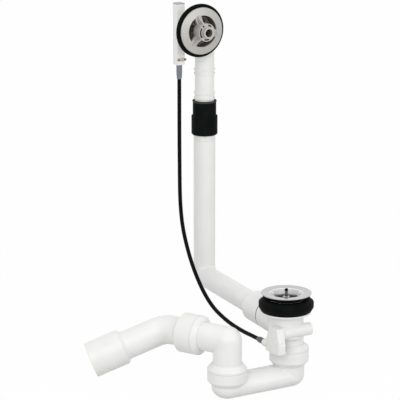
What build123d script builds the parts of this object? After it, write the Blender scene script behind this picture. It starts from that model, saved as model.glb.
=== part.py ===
"""Bath waste and overflow with a cable-operated lift pin, overflow pipe and flat trap.

Millimetres, +Z up. The origin is the centre of the waste hole on the top of the bath floor. The overflow head
looks along -Y and the trap runs off along -X.
"""

import os
from math import atan, cos, degrees, pi, radians, sin, sqrt, tan

from build123d import *

os.makedirs("parts", exist_ok=True)

# Clearances
fit_gap = 0.1  # between still pieces that seat in each other
run_gap = 0.08  # radial, round a turning shaft, pipe or sliding pin
slide_gap = 0.3  # beside pieces that slide or swing
past = 1.0  # how far a cut or a joined block runs past a face

# Chrome waste flange
flange_radius = 35.0
rim_thickness = 1.4
rim_edge = 0.5
rim_dish = 1.2  # fall of the rim's top from its edge to the cup
cup_radius = 22.3
cup_wall = 1.3
cup_depth = 11.4
cup_bevel = 0.6
cup_spigot_length = 28.6
spider_arms = 3
spider_width = 2.2
spider_thickness = 3.0
spider_rib_depth = 2.8
spider_rib_height = 7.6
guide_radius = 4.6
guide_rise = 5.2
guide_length = 10.2

# Seals that clamp the bath floor
gasket_thickness = 3.6
gasket_edge_taper = 2.0
gasket_lip_wall = 2.0  # lip that centres the gasket in the bath's hole
gasket_lip_depth = 3.4
bath_floor = 3.5
seal_radius = 38.3
seal_height = 17.5
seal_top_radius = 32.4
seal_foot_radius = 35.0
seal_shoulder_drop = 4.6  # top slope, down to the upright outer wall
seal_wall_height = 7.2
seal_edge_round = 2.4

# Waste body
body_wall = 2.7
collar_wall = 2.9
collar_setback = 1.0
cup_room = 2.0
seat_flange_radius = 34.4
seat_flange_thickness = 2.6
seat_gusset = 5.0
barrel_radius = 24.5
barrel_length = 35.5  # seat to the start of the outlet taper
outlet_taper = 5.0
outlet_reveal = 8.0  # spigot seen above the trap's ring
outlet_offset = 5.5  # trap inlet axis, off the waste axis along X

# Overflow branch of the waste body
branch_drop = 19.5  # branch axis below the seal's seat
branch_radius = 22.5
branch_shoulder = 48.5  # from the waste axis
branch_spigot_radius = 18.0
branch_spigot_wall = 2.6
branch_spigot_length = 31.0

# Lift pin and its lever
pin_radius = 2.2
pin_height = 5.3  # tip above the rim
pin_foot_radius = 3.0
pin_foot_thickness = 2.0
tip_length = 3.4
tip_radius = 2.2
tip_peg_radius = 1.1
tip_peg_length = 1.6
lift_arm_length = 20.0
lift_arm_nose = 3.0
lift_arm_web = 2.8
lift_arm_width = 6.0
arm_hub_radius = 5.4
shaft_radius = 4.0
shaft_square = 5.2
shaft_tail_radius = 2.5
shaft_drop = 25.5  # shaft axis below the seal's seat
stub_radius = 9.0
stub_end = 26.5
stub_wall = 3.0
o_ring_section = 1.5
o_ring_pitch = 3.0
o_ring_setback = 4.8  # from the crank's room
crank_throw = 19.0  # wire line below the shaft axis
crank_thickness = 5.0
crank_half_width = 5.2
crank_hub_radius = 6.6
crank_tine = 5.2  # fork past the wire line
crank_room = 0.9  # beside and below the crank
fork_room = 0.5
box_room = 1.2
box_rear_room = 4.5
box_corner = 3.0
box_standoff = 0.8  # crank's room, off the barrel
box_wall = 1.9
box_cover = 1.6

# Control cable
cable_radius = 2.9
wire_radius = 0.8
wire_room = 1.0
wire_gap = 0.4
nipple_radius = 2.2
nipple_pocket = 4.0
ferrule_radius = 4.2
ferrule_step = 0.8
ferrule_taper = 7.6
upper_ferrule_length = 21.4  # below the rack housing
cable_nose_radius = 5.4
cable_nose_length = 9.5
ferrule_inset = 2.0
lower_ferrule_length = 24.0
cable_socket = 6.0  # sheath inside each ferrule

# Overflow head
head_height = 335.0
head_reach = 230.0  # waste axis to the front of the face ring's rim
face_radius = 34.0
face_thickness = 2.2
face_dome = 2.0
wall_gap = 2.0  # bath wall
face_edge = 0.8
window_radius = 23.0
window_step = 0.8
spokes = 3
spoke_turn = -11.0  # first spoke, degrees above +X seen from the front
land_width = 10.0
rib_width = 2.0
rib_setback = 0.5
rib_overlap = 2.5
hub_radius = 13.0
hub_wall = 1.8
hub_reach = 14.0
hub_plate = 2.0
hub_slots = ((48.0, 30.0), (114.0, 16.0), (141.0, 81.0), (249.0, 40.0))  # start and sweep, degrees
hub_slot_width = 2.3
boss_reach = 19.8
boss_nose_radius = 7.9
boss_radius = 9.4
knob_bore_radius = 5.8
sleeve_wall = 1.6
sleeve_length = 15.0
head_seal_radius = 38.7
head_seal_thickness = 3.6
head_seal_groove = 1.3
head_seal_edge = 0.8
head_flange_radius = 35.0
head_flange_thickness = 3.0
chamber_wall = 2.8
chamber_step = 1.1
chamber_edge = 2.0
rear_radius = 21.5
chamber_depth = 36.8
mid_depth = 31.0  # face to the plane of the pinion, rack and neck

# Rack and pinion
gear_module = 1.0
pinion_teeth = 16
pressure_angle = 20.0
tooth_height = 0.85
tooth_root = 1.2
backlash = 0.12  # taken off each tooth
pinion_width = 8.0
quarter_turn = 90.0
journal_radius = 7.52
journal_length = 6.0
key_square = 8.0
key_depth = 9.0
spindle_radius = 5.0
spindle_setback = 2.8
tail_radius = 4.0
tail_length = 5.6
tail_boss_radius = 7.5
rack_offset = 20.0  # rack and cable axis, left of the head's axis
rack_width = 7.0
rack_thickness = 6.0
rack_bias = 0.5
rack_below = 13.0
rack_above = 25.0
housing_below = 51.5
housing_above = 36.9
housing_wall = 2.2
housing_face = 3.2
cap_thickness = 1.8
cap_plug = 4.0

# Cable clip at the foot of the rack housing
clip_thickness = 1.6
clip_height = 3.6
clip_length = 15.0
clip_above_foot = 6.2
clip_eye = 0.8
groove_depth = 1.0
ferrule_head = 11.0

# Overflow neck, rubber sleeve and pipe
neck_offset = 22.4
neck_radius = 14.2
neck_crown_drop = 5.0
neck_wall = 2.6
neck_rib_height = 1.4
neck_rib_width = 2.2
neck_rib_drops = (62.5, 68.4, 97.2, 104.7)  # below the head's axis
sleeve_top_drop = 108.5
sleeve_step_drop = 131.0
sleeve_foot_drop = 159.5
sleeve_neck_radius = 17.2
sleeve_pipe_radius = 19.2
sleeve_edge = 1.5
sleeve_stop = 2.0
neck_engagement = 20.0
pipe_radius = 16.0
pipe_wall = 2.2
pipe_bend = 18.0
pipe_groove_depth = 0.4
pipe_groove_width = 0.8
pipe_groove_drops = (2.6, 5.2, 7.8)  # below the sleeve's foot
bell_reveal = 0.9  # open joint between the bell and the branch's shoulder
bell_cone = 15.2
bell_length = 42.5
bell_seal_width = 7.0
bell_seal_depth = 2.2
bell_seal_inset = 8.0

# Trap
drain_radius = 20.0
drain_wall = 2.4
socket_radius = 27.5
socket_straight = 14.0
inlet_socket_straight = 16.0
arm_socket_straight = 24.5
socket_groove = 0.5
inlet_groove_drop = 7.6
socket_taper = 7.0
ring_straight = 3.0
ring_chamfer = 5.0
riser_ring_chamfer = 7.0
ring_tongue = 2.0
ring_lip = 1.4
lip_root = 2.0
lip_height = 2.4
seat_wall = 2.7
seat_depth = 9.0
spigot_depth = 18.0
arm_spigot_depth = 25.0
u_leg_radius = 21.5
u_tube_half_height = 16.5
u_wall = 2.8
u_tube_drop = 94.5  # lower tube axis below the seal's seat
riser_distance = 95.0  # riser axis from the waste axis
riser_parting_drop = 70.6
arm_drop = 28.7  # arm axis below the seal's seat
arm_heading = 27.6  # degrees in plan, from +Y towards -X
arm_parting = 45.5  # parting line from the riser axis
arm_corner = 101.8  # outlet bend's corner from the riser axis
outlet_turn = 45.0
outlet_roll = 31.7  # degrees below the horizontal
outlet_bend_radius = 32.0
outlet_shoulder = 63.7  # corner to the start of the wide end
outlet_shoulder_length = 4.5
outlet_radius = 25.0
outlet_wall = 2.6
outlet_edge = 0.8
outlet_length = 111.6  # corner to the end

# Heights worked out from the sizes above
rim_top = gasket_thickness + rim_thickness
seat_z = -(bath_floor + seal_height)
seal_top = -bath_floor
cup_outer = cup_radius + cup_wall
collar_radius = cup_outer + fit_gap + collar_wall
cup_foot = gasket_thickness - cup_spigot_length
rim_slope = rim_dish / (flange_radius - rim_edge / 2 - cup_outer)  # of the rim's dished underside
barrel_bore = barrel_radius - body_wall
barrel_foot = seat_z - barrel_length
taper_foot = barrel_foot - outlet_taper
branch_z = seat_z - branch_drop
mid_y = head_reach + mid_depth
branch_dir = Vector(neck_offset, mid_y, 0).normalized()
branch_bore = branch_spigot_radius - branch_spigot_wall

# Lever: the wire's travel swings the crank, and the inner arm lifts the pin
pitch_radius = gear_module * pinion_teeth / 2
rack_travel = pitch_radius * radians(quarter_turn)
lever_swing = degrees(atan(rack_travel / 2 / crank_throw))  # each side of the middle
shaft_y = -lift_arm_length * (1 + cos(radians(lever_swing))) / 2
shaft_z = seat_z - shaft_drop
wire_z = shaft_z - crank_throw
nipple_y = shaft_y + rack_travel / 2
pin_tip_z = rim_top + pin_height
pin_top = pin_tip_z - tip_length
nose_rise = lift_arm_length * sin(radians(lever_swing))
pin_foot = shaft_z + nose_rise + lift_arm_nose + slide_gap

square_end = lift_arm_width / 2 + past

# Crank box on the left of the barrel
box_inner_x = -(barrel_radius + box_standoff)
crank_inner_x = box_inner_x - crank_room
crank_outer_x = crank_inner_x - crank_thickness
box_open_x = crank_outer_x - crank_room
cover_outer_x = box_open_x - box_cover
cable_x = (crank_inner_x + crank_outer_x) / 2
crank_reach = crank_throw + crank_tine
crank_side = crank_reach * sin(radians(lever_swing)) + crank_half_width
box_top_half = crank_hub_radius + box_room
box_foot_half = crank_side + slide_gap
box_rise = crank_hub_radius + box_room
box_fall = crank_reach + crank_room
nose_start_y = shaft_y + box_foot_half + box_rear_room
nose_end_y = nose_start_y + box_wall + cable_nose_length
lower_ferrule_start = nose_start_y + box_wall + ferrule_inset
lower_ferrule_end = lower_ferrule_start + lower_ferrule_length
cable_foot_y = lower_ferrule_end - cable_socket

# Overflow head
face_back = head_reach + face_thickness
head_seal_front = face_back + wall_gap
head_flange_front = head_seal_front + head_seal_thickness
hub_front = head_reach - hub_reach
sleeve_radius = window_radius + window_step + sleeve_wall
chamber_bore = sleeve_radius + fit_gap
chamber_radius = chamber_bore + chamber_wall + chamber_step
sleeve_end = face_back + sleeve_length
chamber_back = head_flange_front + chamber_depth
chamber_floor = chamber_back - chamber_wall
head_collar_radius = chamber_bore + chamber_wall
spindle_front = face_back + spindle_setback
journal_back = spindle_front + journal_length
rack_x = -rack_offset
rack_left = rack_x - rack_width / 2 - rack_bias
rack_right = rack_left + rack_width
channel_left = rack_left - slide_gap
channel_right = rack_right + slide_gap
channel_front = mid_y - rack_thickness / 2 - slide_gap
channel_back = mid_y + rack_thickness / 2 + slide_gap
housing_left = channel_left - housing_wall
housing_right = channel_right + housing_wall
housing_front = channel_front - housing_face
housing_back = channel_back + housing_face
housing_foot = head_height - housing_below
housing_top = head_height + housing_above
ferrule_top = housing_foot + ferrule_head
rack_foot = head_height - rack_below
rack_top = head_height + rack_above
clip_z = housing_foot + clip_above_foot
upper_ferrule_foot = housing_foot - upper_ferrule_length
cable_top_z = upper_ferrule_foot + cable_socket

# Overflow pipe
sleeve_top = head_height - sleeve_top_drop
sleeve_step = head_height - sleeve_step_drop
sleeve_foot = head_height - sleeve_foot_drop
neck_foot = sleeve_top - neck_engagement
pipe_top = neck_foot - sleeve_stop
bell_mouth = branch_shoulder + bell_reveal
bell_back = bell_mouth + bell_length
pipe_start = bell_back + bell_cone
neck_top = head_height - neck_crown_drop

# Trap
ring_length = ring_straight + ring_chamfer
inlet_parting = taper_foot - outlet_reveal - ring_length
spigot_length = outlet_reveal + ring_length + spigot_depth - slide_gap
riser_parting = seat_z - riser_parting_drop
u_tube_z = seat_z - u_tube_drop
arm_z = seat_z - arm_drop
seat_radius = socket_radius - seat_wall
spigot_bore = drain_radius + run_gap
arm_dir = Vector(-sin(radians(arm_heading)), cos(radians(arm_heading)), 0)
arm_side = Vector(-cos(radians(arm_heading)), -sin(radians(arm_heading)), 0)
roll_dir = arm_side * cos(radians(outlet_roll)) - Vector(0, 0, 1) * sin(radians(outlet_roll))
outlet_dir = arm_dir * cos(radians(outlet_turn)) + roll_dir * sin(radians(outlet_turn))
riser_corner = Vector(-riser_distance, 0, arm_z)
outlet_corner = riser_corner + arm_dir * arm_corner
arm_spigot_end = arm_parting + arm_spigot_depth - slide_gap


def turning_plane(origin, direction):
    """Plane whose local x is a radius and whose local y runs along the axis."""
    along = Vector(*direction).normalized()
    radial = Vector(1, 0, 0)
    if abs(along.Z) < 0.99:
        radial = (Vector(0, 0, 1) - along * along.Z).normalized()
    return Plane(origin=origin, x_dir=radial, z_dir=radial.cross(along))


def outline(plane, points):
    """Closed straight-sided face on a plane."""
    with BuildSketch(plane) as face:
        with BuildLine():
            Polyline(*points, close=True)
        make_face()
    return face.sketch


def turn(plane, points, mode=Mode.ADD):
    """Turned solid from (radius, distance along the axis) points."""
    revolve(outline(plane, points), axis=Axis(plane.origin, plane.y_dir), mode=mode)


def rod(origin, direction, radius, length, mode=Mode.ADD):
    """Straight round bar or bore from a point along a direction."""
    with BuildSketch(Plane(origin=origin, z_dir=direction)) as section:
        Circle(radius)
    extrude(section.sketch, amount=length, mode=mode)


def block(low, high, mode=Mode.ADD):
    """Box between two corners."""
    size = [b - a for a, b in zip(low, high)]
    middle = [(a + b) / 2 for a, b in zip(low, high)]
    with Locations(tuple(middle)):
        Box(*size, mode=mode)


def save(builder, name):
    """Label a finished piece and write it."""
    builder.part.label = name
    export_step(builder.part, f"parts/{name}.step")


waste_plane = turning_plane((0, 0, 0), (0, 0, 1))

# Chrome flange: rim, throat, threaded spigot, and a three-armed spider that guides the lift pin
spider_top = rim_top - cup_depth
with BuildPart() as waste_flange:
    turn(
        waste_plane,
        [
            (cup_radius, cup_foot),
            (cup_outer, cup_foot),
            (cup_outer, gasket_thickness - rim_dish),
            (flange_radius - rim_edge / 2, gasket_thickness),
            (flange_radius, gasket_thickness + rim_edge / 2),
            (flange_radius, rim_top - rim_edge),
            (flange_radius - rim_edge, rim_top - rim_edge / 4),
            (flange_radius - 2 * rim_edge, rim_top),
            (cup_radius + cup_bevel, rim_top - rim_dish),
            (cup_radius, rim_top - rim_dish - cup_bevel),
        ],
    )
    turn(
        waste_plane,
        [
            (0, spider_top - guide_length),
            (guide_radius, spider_top - guide_length),
            (guide_radius, spider_top + guide_rise),
            (0, spider_top + guide_rise),
        ],
    )
    for arm in range(spider_arms):
        with BuildSketch(Plane.XY.offset(spider_top).rotated((0, 0, arm * 360 / spider_arms))) as arm_face:
            with Locations((cup_outer / 2, 0)):
                Rectangle(cup_outer - fit_gap, spider_width)
        extrude(arm_face.sketch, amount=-spider_thickness)
        with BuildSketch(Plane.XY.offset(spider_top).rotated((0, 0, arm * 360 / spider_arms))) as rib_face:
            with Locations((cup_outer - fit_gap - (spider_rib_depth + cup_wall) / 2, 0)):
                Rectangle(spider_rib_depth + cup_wall, spider_width)
        extrude(rib_face.sketch, amount=spider_rib_height)
    rod((0, 0, spider_top - guide_length), (0, 0, 1), pin_radius + run_gap, 2 * guide_length, Mode.SUBTRACT)
save(waste_flange, "waste_flange")

# Thin gasket between the rim and the bath floor, with a lip down into the bath's hole
with BuildPart() as flange_gasket:
    turn(
        waste_plane,
        [
            (cup_outer + fit_gap, -gasket_lip_depth),
            (cup_outer + fit_gap + gasket_lip_wall, -gasket_lip_depth),
            (cup_outer + fit_gap + gasket_lip_wall, 0),
            (flange_radius - rim_edge - gasket_edge_taper, 0),
            (flange_radius - rim_edge, gasket_thickness - rim_slope * rim_edge / 2),
            (cup_outer + fit_gap, gasket_thickness - rim_dish + rim_slope * fit_gap),
        ],
    )
save(flange_gasket, "flange_gasket")

# Thick seal under the bath floor with a sloped top and an upright edge, seated on the body's flange
with BuildPart() as lower_seal:
    with BuildSketch(waste_plane) as seal_section:
        with BuildLine():
            seal_inner = collar_radius + fit_gap
            seal_shoulder = seal_top - seal_shoulder_drop
            Polyline(
                (seal_foot_radius, seat_z),
                (seal_inner, seat_z),
                (seal_inner, seal_top),
                (seal_top_radius, seal_top),
                (seal_radius, seal_shoulder),
                (seal_radius, seal_shoulder - seal_wall_height),
                close=True,
            )
        make_face()
        outer_corners = seal_section.vertices().group_by(Axis.X)[-1]
        fillet(outer_corners, seal_edge_round)
    revolve(seal_section.sketch, axis=Axis.Z)
save(lower_seal, "lower_seal")

# Waste body: threaded collar, seat flange, barrel, overflow branch, shaft bosses, crank box and outlet spigot


def crank_box_outline(margin):
    """Outline of the crank's room, seen along X, grown by a margin."""
    top = shaft_z + box_rise + margin
    foot = shaft_z - box_fall - margin
    return [
        (shaft_y - box_top_half - margin, top),
        (shaft_y + box_top_half + margin, top),
        (nose_start_y + margin, wire_z + crank_half_width),
        (nose_start_y + margin, foot),
        (shaft_y - box_foot_half - margin, foot),
        (shaft_y - box_foot_half - margin, wire_z + crank_half_width),
    ]


def crank_box(x_from, x_to, margin, corner, mode=Mode.ADD):
    """Prism of the crank box between two planes across X."""
    with BuildSketch(Plane.YZ.offset(x_from)) as box_face:
        with BuildLine():
            Polyline(*crank_box_outline(margin), close=True)
        make_face()
        fillet(box_face.vertices(), corner)
    extrude(box_face.sketch, amount=x_to - x_from, mode=mode)


branch_origin = Vector(0, 0, branch_z)
with BuildPart() as waste_body:
    turn(
        waste_plane,
        [
            (0, barrel_foot),
            (barrel_radius, barrel_foot),
            (barrel_radius, seat_z - seat_flange_thickness - seat_gusset),
            (barrel_radius + seat_gusset, seat_z - seat_flange_thickness),
            (seat_flange_radius, seat_z - seat_flange_thickness),
            (seat_flange_radius, seat_z),
            (collar_radius, seat_z),
            (collar_radius, seal_top - collar_setback),
            (0, seal_top - collar_setback),
        ],
    )
    rod(branch_origin, branch_dir, branch_radius, branch_shoulder)
    rod(branch_origin, branch_dir, branch_spigot_radius, branch_shoulder + branch_spigot_length)
    rod((0, shaft_y, shaft_z), (1, 0, 0), stub_radius, stub_end)
    rod((0, shaft_y, shaft_z), (-1, 0, 0), stub_radius, -box_inner_x)
    crank_box(box_inner_x + body_wall, box_open_x, box_wall, box_corner)
    rod((cable_x, nose_start_y, wire_z), (0, 1, 0), cable_nose_radius, nose_end_y - nose_start_y)
    with BuildSketch(Plane.XY.offset(barrel_foot)) as taper_top:
        Circle(barrel_radius)
    with BuildSketch(Plane.XY.offset(taper_foot)) as taper_end:
        with Locations((outlet_offset, 0)):
            Circle(drain_radius)
    loft([taper_top.sketch.face(), taper_end.sketch.face()])
    rod((outlet_offset, 0, taper_foot), (0, 0, -1), drain_radius, spigot_length)
    # room for the seal above the seat
    turn(
        waste_plane,
        [
            (collar_radius, seat_z),
            (seal_radius + past, seat_z),
            (seal_radius + past, seal_top + past),
            (collar_radius, seal_top + past),
        ],
        Mode.SUBTRACT,
    )
    # waterways
    rod((0, 0, cup_foot - cup_room), (0, 0, 1), cup_outer + fit_gap, 2 * cup_spigot_length, Mode.SUBTRACT)
    rod((0, 0, barrel_foot), (0, 0, 1), barrel_bore, barrel_length, Mode.SUBTRACT)
    rod(
        branch_origin, branch_dir, branch_bore,
        branch_shoulder + branch_spigot_length + past, Mode.SUBTRACT,
    )
    with BuildSketch(Plane.XY.offset(barrel_foot)) as throat_top:
        Circle(barrel_bore)
    with BuildSketch(Plane.XY.offset(taper_foot)) as throat_end:
        with Locations((outlet_offset, 0)):
            Circle(drain_radius - drain_wall)
    loft([throat_top.sketch.face(), throat_end.sketch.face()], mode=Mode.SUBTRACT)
    rod(
        (outlet_offset, 0, taper_foot), (0, 0, -1), drain_radius - drain_wall,
        spigot_length + past, Mode.SUBTRACT,
    )
    # crank room, room for the lift arm's hub, shaft bores and cable entry
    crank_box(box_inner_x, box_open_x - past, 0, box_corner / 2, Mode.SUBTRACT)
    rod(
        (-square_end - slide_gap, shaft_y, shaft_z), (1, 0, 0), arm_hub_radius + slide_gap,
        2 * (square_end + slide_gap), Mode.SUBTRACT,
    )
    rod((0, shaft_y, shaft_z), (-1, 0, 0), shaft_radius + run_gap, past - box_inner_x, Mode.SUBTRACT)
    rod((0, shaft_y, shaft_z), (1, 0, 0), shaft_tail_radius + run_gap, stub_end - stub_wall, Mode.SUBTRACT)
    rod(
        (cable_x, nose_start_y - past, wire_z), (0, 1, 0), wire_radius + wire_room,
        nose_end_y - nose_start_y + 2 * past, Mode.SUBTRACT,
    )
    rod(
        (cable_x, lower_ferrule_start, wire_z), (0, 1, 0), ferrule_radius - ferrule_step + fit_gap,
        nose_end_y - lower_ferrule_start + past, Mode.SUBTRACT,
    )
save(waste_body, "waste_body")

# Lift pin with a flat foot and a soft black tip
tip_peg_top = pin_top + tip_peg_length
with BuildPart() as lift_pin:
    turn(
        waste_plane,
        [
            (0, pin_foot),
            (pin_foot_radius, pin_foot),
            (pin_foot_radius, pin_foot + pin_foot_thickness),
            (pin_radius, pin_foot + pin_foot_thickness),
            (pin_radius, pin_top),
            (tip_peg_radius, pin_top),
            (tip_peg_radius, tip_peg_top),
            (0, tip_peg_top),
        ],
    )
save(lift_pin, "lift_pin")

with BuildPart() as pin_tip:
    turn(
        waste_plane,
        [
            (0, tip_peg_top + fit_gap),
            (tip_peg_radius + fit_gap, tip_peg_top + fit_gap),
            (tip_peg_radius + fit_gap, pin_top),
            (tip_radius, pin_top),
            (tip_radius, pin_tip_z),
            (0, pin_tip_z),
        ],
    )
    fillet(pin_tip.edges().sort_by(Axis.Z)[-1], tip_radius / 2)
save(pin_tip, "pin_tip")

# Lever: cross shaft, inner arm under the pin, and outer crank pulled by the wire.
# On the lever's own plane the arm lies along +x and the crank along -y.


def lever_plane(x):
    """Plane across the shaft with its axes turned to the lever's rest angle."""
    swing = radians(lever_swing)
    return Plane(origin=(x, shaft_y, shaft_z), x_dir=(0, cos(swing), sin(swing)), z_dir=(1, 0, 0))


shaft_axis = turning_plane((0, shaft_y, shaft_z), (1, 0, 0))
groove_radius = shaft_radius + run_gap / 2 - o_ring_section
groove_width = o_ring_section + 2 * fit_gap
groove_middle = box_inner_x + o_ring_setback
groove_places = [groove_middle - o_ring_pitch / 2, groove_middle + o_ring_pitch / 2]
with BuildPart() as lever_shaft:
    rod((-square_end, shaft_y, shaft_z), (-1, 0, 0), shaft_radius, -square_end - crank_inner_x)
    for groove_x in groove_places:
        turn(
            shaft_axis,
            [
                (groove_radius, groove_x - groove_width / 2),
                (shaft_radius + past, groove_x - groove_width / 2),
                (shaft_radius + past, groove_x + groove_width / 2),
                (groove_radius, groove_x + groove_width / 2),
            ],
            Mode.SUBTRACT,
        )
    with BuildSketch(lever_plane(crank_outer_x)) as crank_square:
        Rectangle(shaft_square, shaft_square)
    extrude(crank_square.sketch, amount=crank_thickness)
    with BuildSketch(lever_plane(-square_end)) as arm_square:
        Rectangle(shaft_square, shaft_square)
    extrude(arm_square.sketch, amount=2 * square_end)
    rod((0, shaft_y, shaft_z), (1, 0, 0), shaft_tail_radius, stub_end - stub_wall - slide_gap)
save(lever_shaft, "lever_shaft")

with BuildPart() as shaft_o_rings:
    for groove_x in groove_places:
        with BuildSketch(shaft_axis) as ring_section:
            with Locations((groove_radius + fit_gap / 2 + o_ring_section / 2, groove_x)):
                Circle(o_ring_section / 2 - fit_gap / 4)
        revolve(ring_section.sketch, axis=Axis(shaft_axis.origin, shaft_axis.y_dir))
save(shaft_o_rings, "shaft_o_rings")

with BuildPart() as lift_arm:
    with BuildSketch(lever_plane(-lift_arm_width / 2)) as arm_outline:
        Circle(arm_hub_radius)
        with Locations((lift_arm_length / 2, 0)):
            Rectangle(lift_arm_length, lift_arm_web)
        with Locations((lift_arm_length, 0)):
            Circle(lift_arm_nose)
        Rectangle(shaft_square + fit_gap, shaft_square + fit_gap, mode=Mode.SUBTRACT)
    extrude(arm_outline.sketch, amount=lift_arm_width)
save(lift_arm, "lift_arm")

fork_slot = nipple_radius + fork_room
fork_start = crank_throw - nipple_radius - fork_room
wire_slit = wire_radius + slide_gap
with BuildPart() as crank_arm:
    with BuildSketch(lever_plane(crank_outer_x)) as crank_outline:
        Circle(crank_hub_radius)
        with Locations((0, -crank_reach / 2)):
            Rectangle(2 * crank_half_width, crank_reach)
        with Locations((0, -fork_start - crank_reach / 2)):
            Rectangle(2 * fork_slot, crank_reach, mode=Mode.SUBTRACT)
        Rectangle(shaft_square + fit_gap, shaft_square + fit_gap, mode=Mode.SUBTRACT)
    extrude(crank_outline.sketch, amount=crank_thickness)
    with BuildSketch(lever_plane(cable_x - wire_slit)) as slit_face:
        with Locations((0, -fork_start - crank_reach / 2 + wire_slit)):
            Rectangle(4 * crank_half_width, crank_reach)
    extrude(slit_face.sketch, amount=2 * wire_slit, mode=Mode.SUBTRACT)
save(crank_arm, "crank_arm")

with BuildPart() as lever_box_cover:
    crank_box(box_open_x, cover_outer_x, box_wall, box_corner)
    chamfer(lever_box_cover.faces().sort_by(Axis.X)[0].edges(), box_cover / 3)
    rod(
        (cable_x, nose_start_y - past, wire_z), (0, 1, 0), cable_nose_radius + fit_gap,
        nose_end_y - nose_start_y, Mode.SUBTRACT,
    )
save(lever_box_cover, "lever_box_cover")

# Control cable: inner wire ends, ferrules and sheath
with BuildPart() as lower_wire:
    rod((cable_x, nipple_y, wire_z), (0, 1, 0), wire_radius, cable_foot_y - slide_gap - nipple_y)
    rod((crank_outer_x, nipple_y, wire_z), (1, 0, 0), nipple_radius, crank_thickness)
save(lower_wire, "lower_wire")

lower_ferrule_plane = turning_plane((cable_x, 0, wire_z), (0, 1, 0))
with BuildPart() as lower_ferrule:
    turn(
        lower_ferrule_plane,
        [
            (wire_radius + wire_room, lower_ferrule_start),
            (ferrule_radius - ferrule_step, lower_ferrule_start),
            (ferrule_radius - ferrule_step, nose_end_y),
            (ferrule_radius, nose_end_y),
            (ferrule_radius, lower_ferrule_end - ferrule_taper / 2),
            (ferrule_radius - ferrule_step, lower_ferrule_end),
            (cable_radius + fit_gap, lower_ferrule_end),
            (cable_radius + fit_gap, cable_foot_y),
            (wire_radius + wire_room, cable_foot_y),
        ],
    )
save(lower_ferrule, "lower_ferrule")

cable_route = [
    (rack_x, mid_y, cable_top_z),
    (rack_x, mid_y, 236.0),
    (-21.7, 258.2, 190.0),
    (-23.4, 254.8, 132.0),
    (-24.9, 251.0, 75.9),
    (-25.9, 239.0, 33.7),
    (-26.7, 207.4, -14.4),
    (-27.3, 162.9, -50.9),
    (-28.0, 114.0, -63.4),
    (-28.5, 70.2, -66.3),
    (cable_x, 42.0, wire_z),
    (cable_x, cable_foot_y, wire_z),
]


def corner_radii(points):
    """Largest arc radius that each corner of a route leaves room for."""
    radii = []
    for before, corner, after in zip(points, points[1:], points[2:]):
        run_in = Vector(*corner) - Vector(*before)
        run_out = Vector(*after) - Vector(*corner)
        half_turn = radians(run_in.get_angle(run_out)) / 2
        radii.append(0.45 * min(run_in.length, run_out.length) / tan(half_turn))
    return radii


with BuildPart() as bowden_cable:
    with BuildLine() as cable_line:
        FilletPolyline(*cable_route, radius=corner_radii(cable_route))
    with BuildSketch(Plane(origin=cable_line.line @ 0, z_dir=cable_line.line % 0)):
        Circle(cable_radius)
    sweep()
cable_length = cable_line.wires()[0].length
print("cable corner radii", [round(r, 1) for r in corner_radii(cable_route)])
print("cable length", round(cable_length, 1))
cable_section = pi * cable_radius**2
print("cable volume over section times length", bowden_cable.part.volume / (cable_section * cable_length))
save(bowden_cable, "bowden_cable")

cable_plane = turning_plane((rack_x, mid_y, 0), (0, 0, 1))
with BuildPart() as upper_ferrule:
    turn(
        cable_plane,
        [
            (wire_radius + wire_gap, ferrule_top),
            (ferrule_radius, ferrule_top),
            (ferrule_radius, clip_z + clip_height + fit_gap),
            (ferrule_radius - groove_depth, clip_z + clip_height + fit_gap),
            (ferrule_radius - groove_depth, clip_z - fit_gap),
            (ferrule_radius, clip_z - fit_gap),
            (ferrule_radius, upper_ferrule_foot + ferrule_taper),
            (ferrule_radius - ferrule_step, upper_ferrule_foot),
            (cable_radius + fit_gap, upper_ferrule_foot),
            (cable_radius + fit_gap, cable_top_z),
            (wire_radius + wire_gap, cable_top_z),
        ],
    )
save(upper_ferrule, "upper_ferrule")

with BuildPart() as upper_wire:
    wire_foot = cable_top_z + rack_travel + slide_gap
    rod((rack_x, mid_y, wire_foot), (0, 0, 1), wire_radius, rack_foot + nipple_pocket - fit_gap - wire_foot)
    rod((rack_x, mid_y, rack_foot), (0, 0, 1), nipple_radius - fit_gap, nipple_pocket - fit_gap)
save(upper_wire, "upper_wire")

# Hairpin clip that locks the upper ferrule in the rack housing
clip_leg = ferrule_radius - groove_depth + fit_gap
clip_front = housing_front - clip_thickness
clip_end = mid_y + ferrule_radius
with BuildPart() as cable_clip:
    with BuildSketch(Plane.XY.offset(clip_z)) as clip_outline:
        with Locations((rack_x, housing_front - clip_thickness / 2)):
            Rectangle(clip_length, clip_thickness)
        for side in (-1, 1):
            with Locations((rack_x + side * (clip_leg + clip_thickness / 2), (clip_front + clip_end) / 2)):
                Rectangle(clip_thickness, clip_end - clip_front)
    extrude(clip_outline.sketch, amount=clip_height)
    for side in (-1, 1):
        eye_x = rack_x + side * (clip_length / 2 - 2 * clip_eye)
        rod(
            (eye_x, clip_front - past, clip_z + clip_height / 2), (0, 1, 0), clip_eye,
            clip_thickness + 2 * past, Mode.SUBTRACT,
        )
save(cable_clip, "cable_clip")

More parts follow.
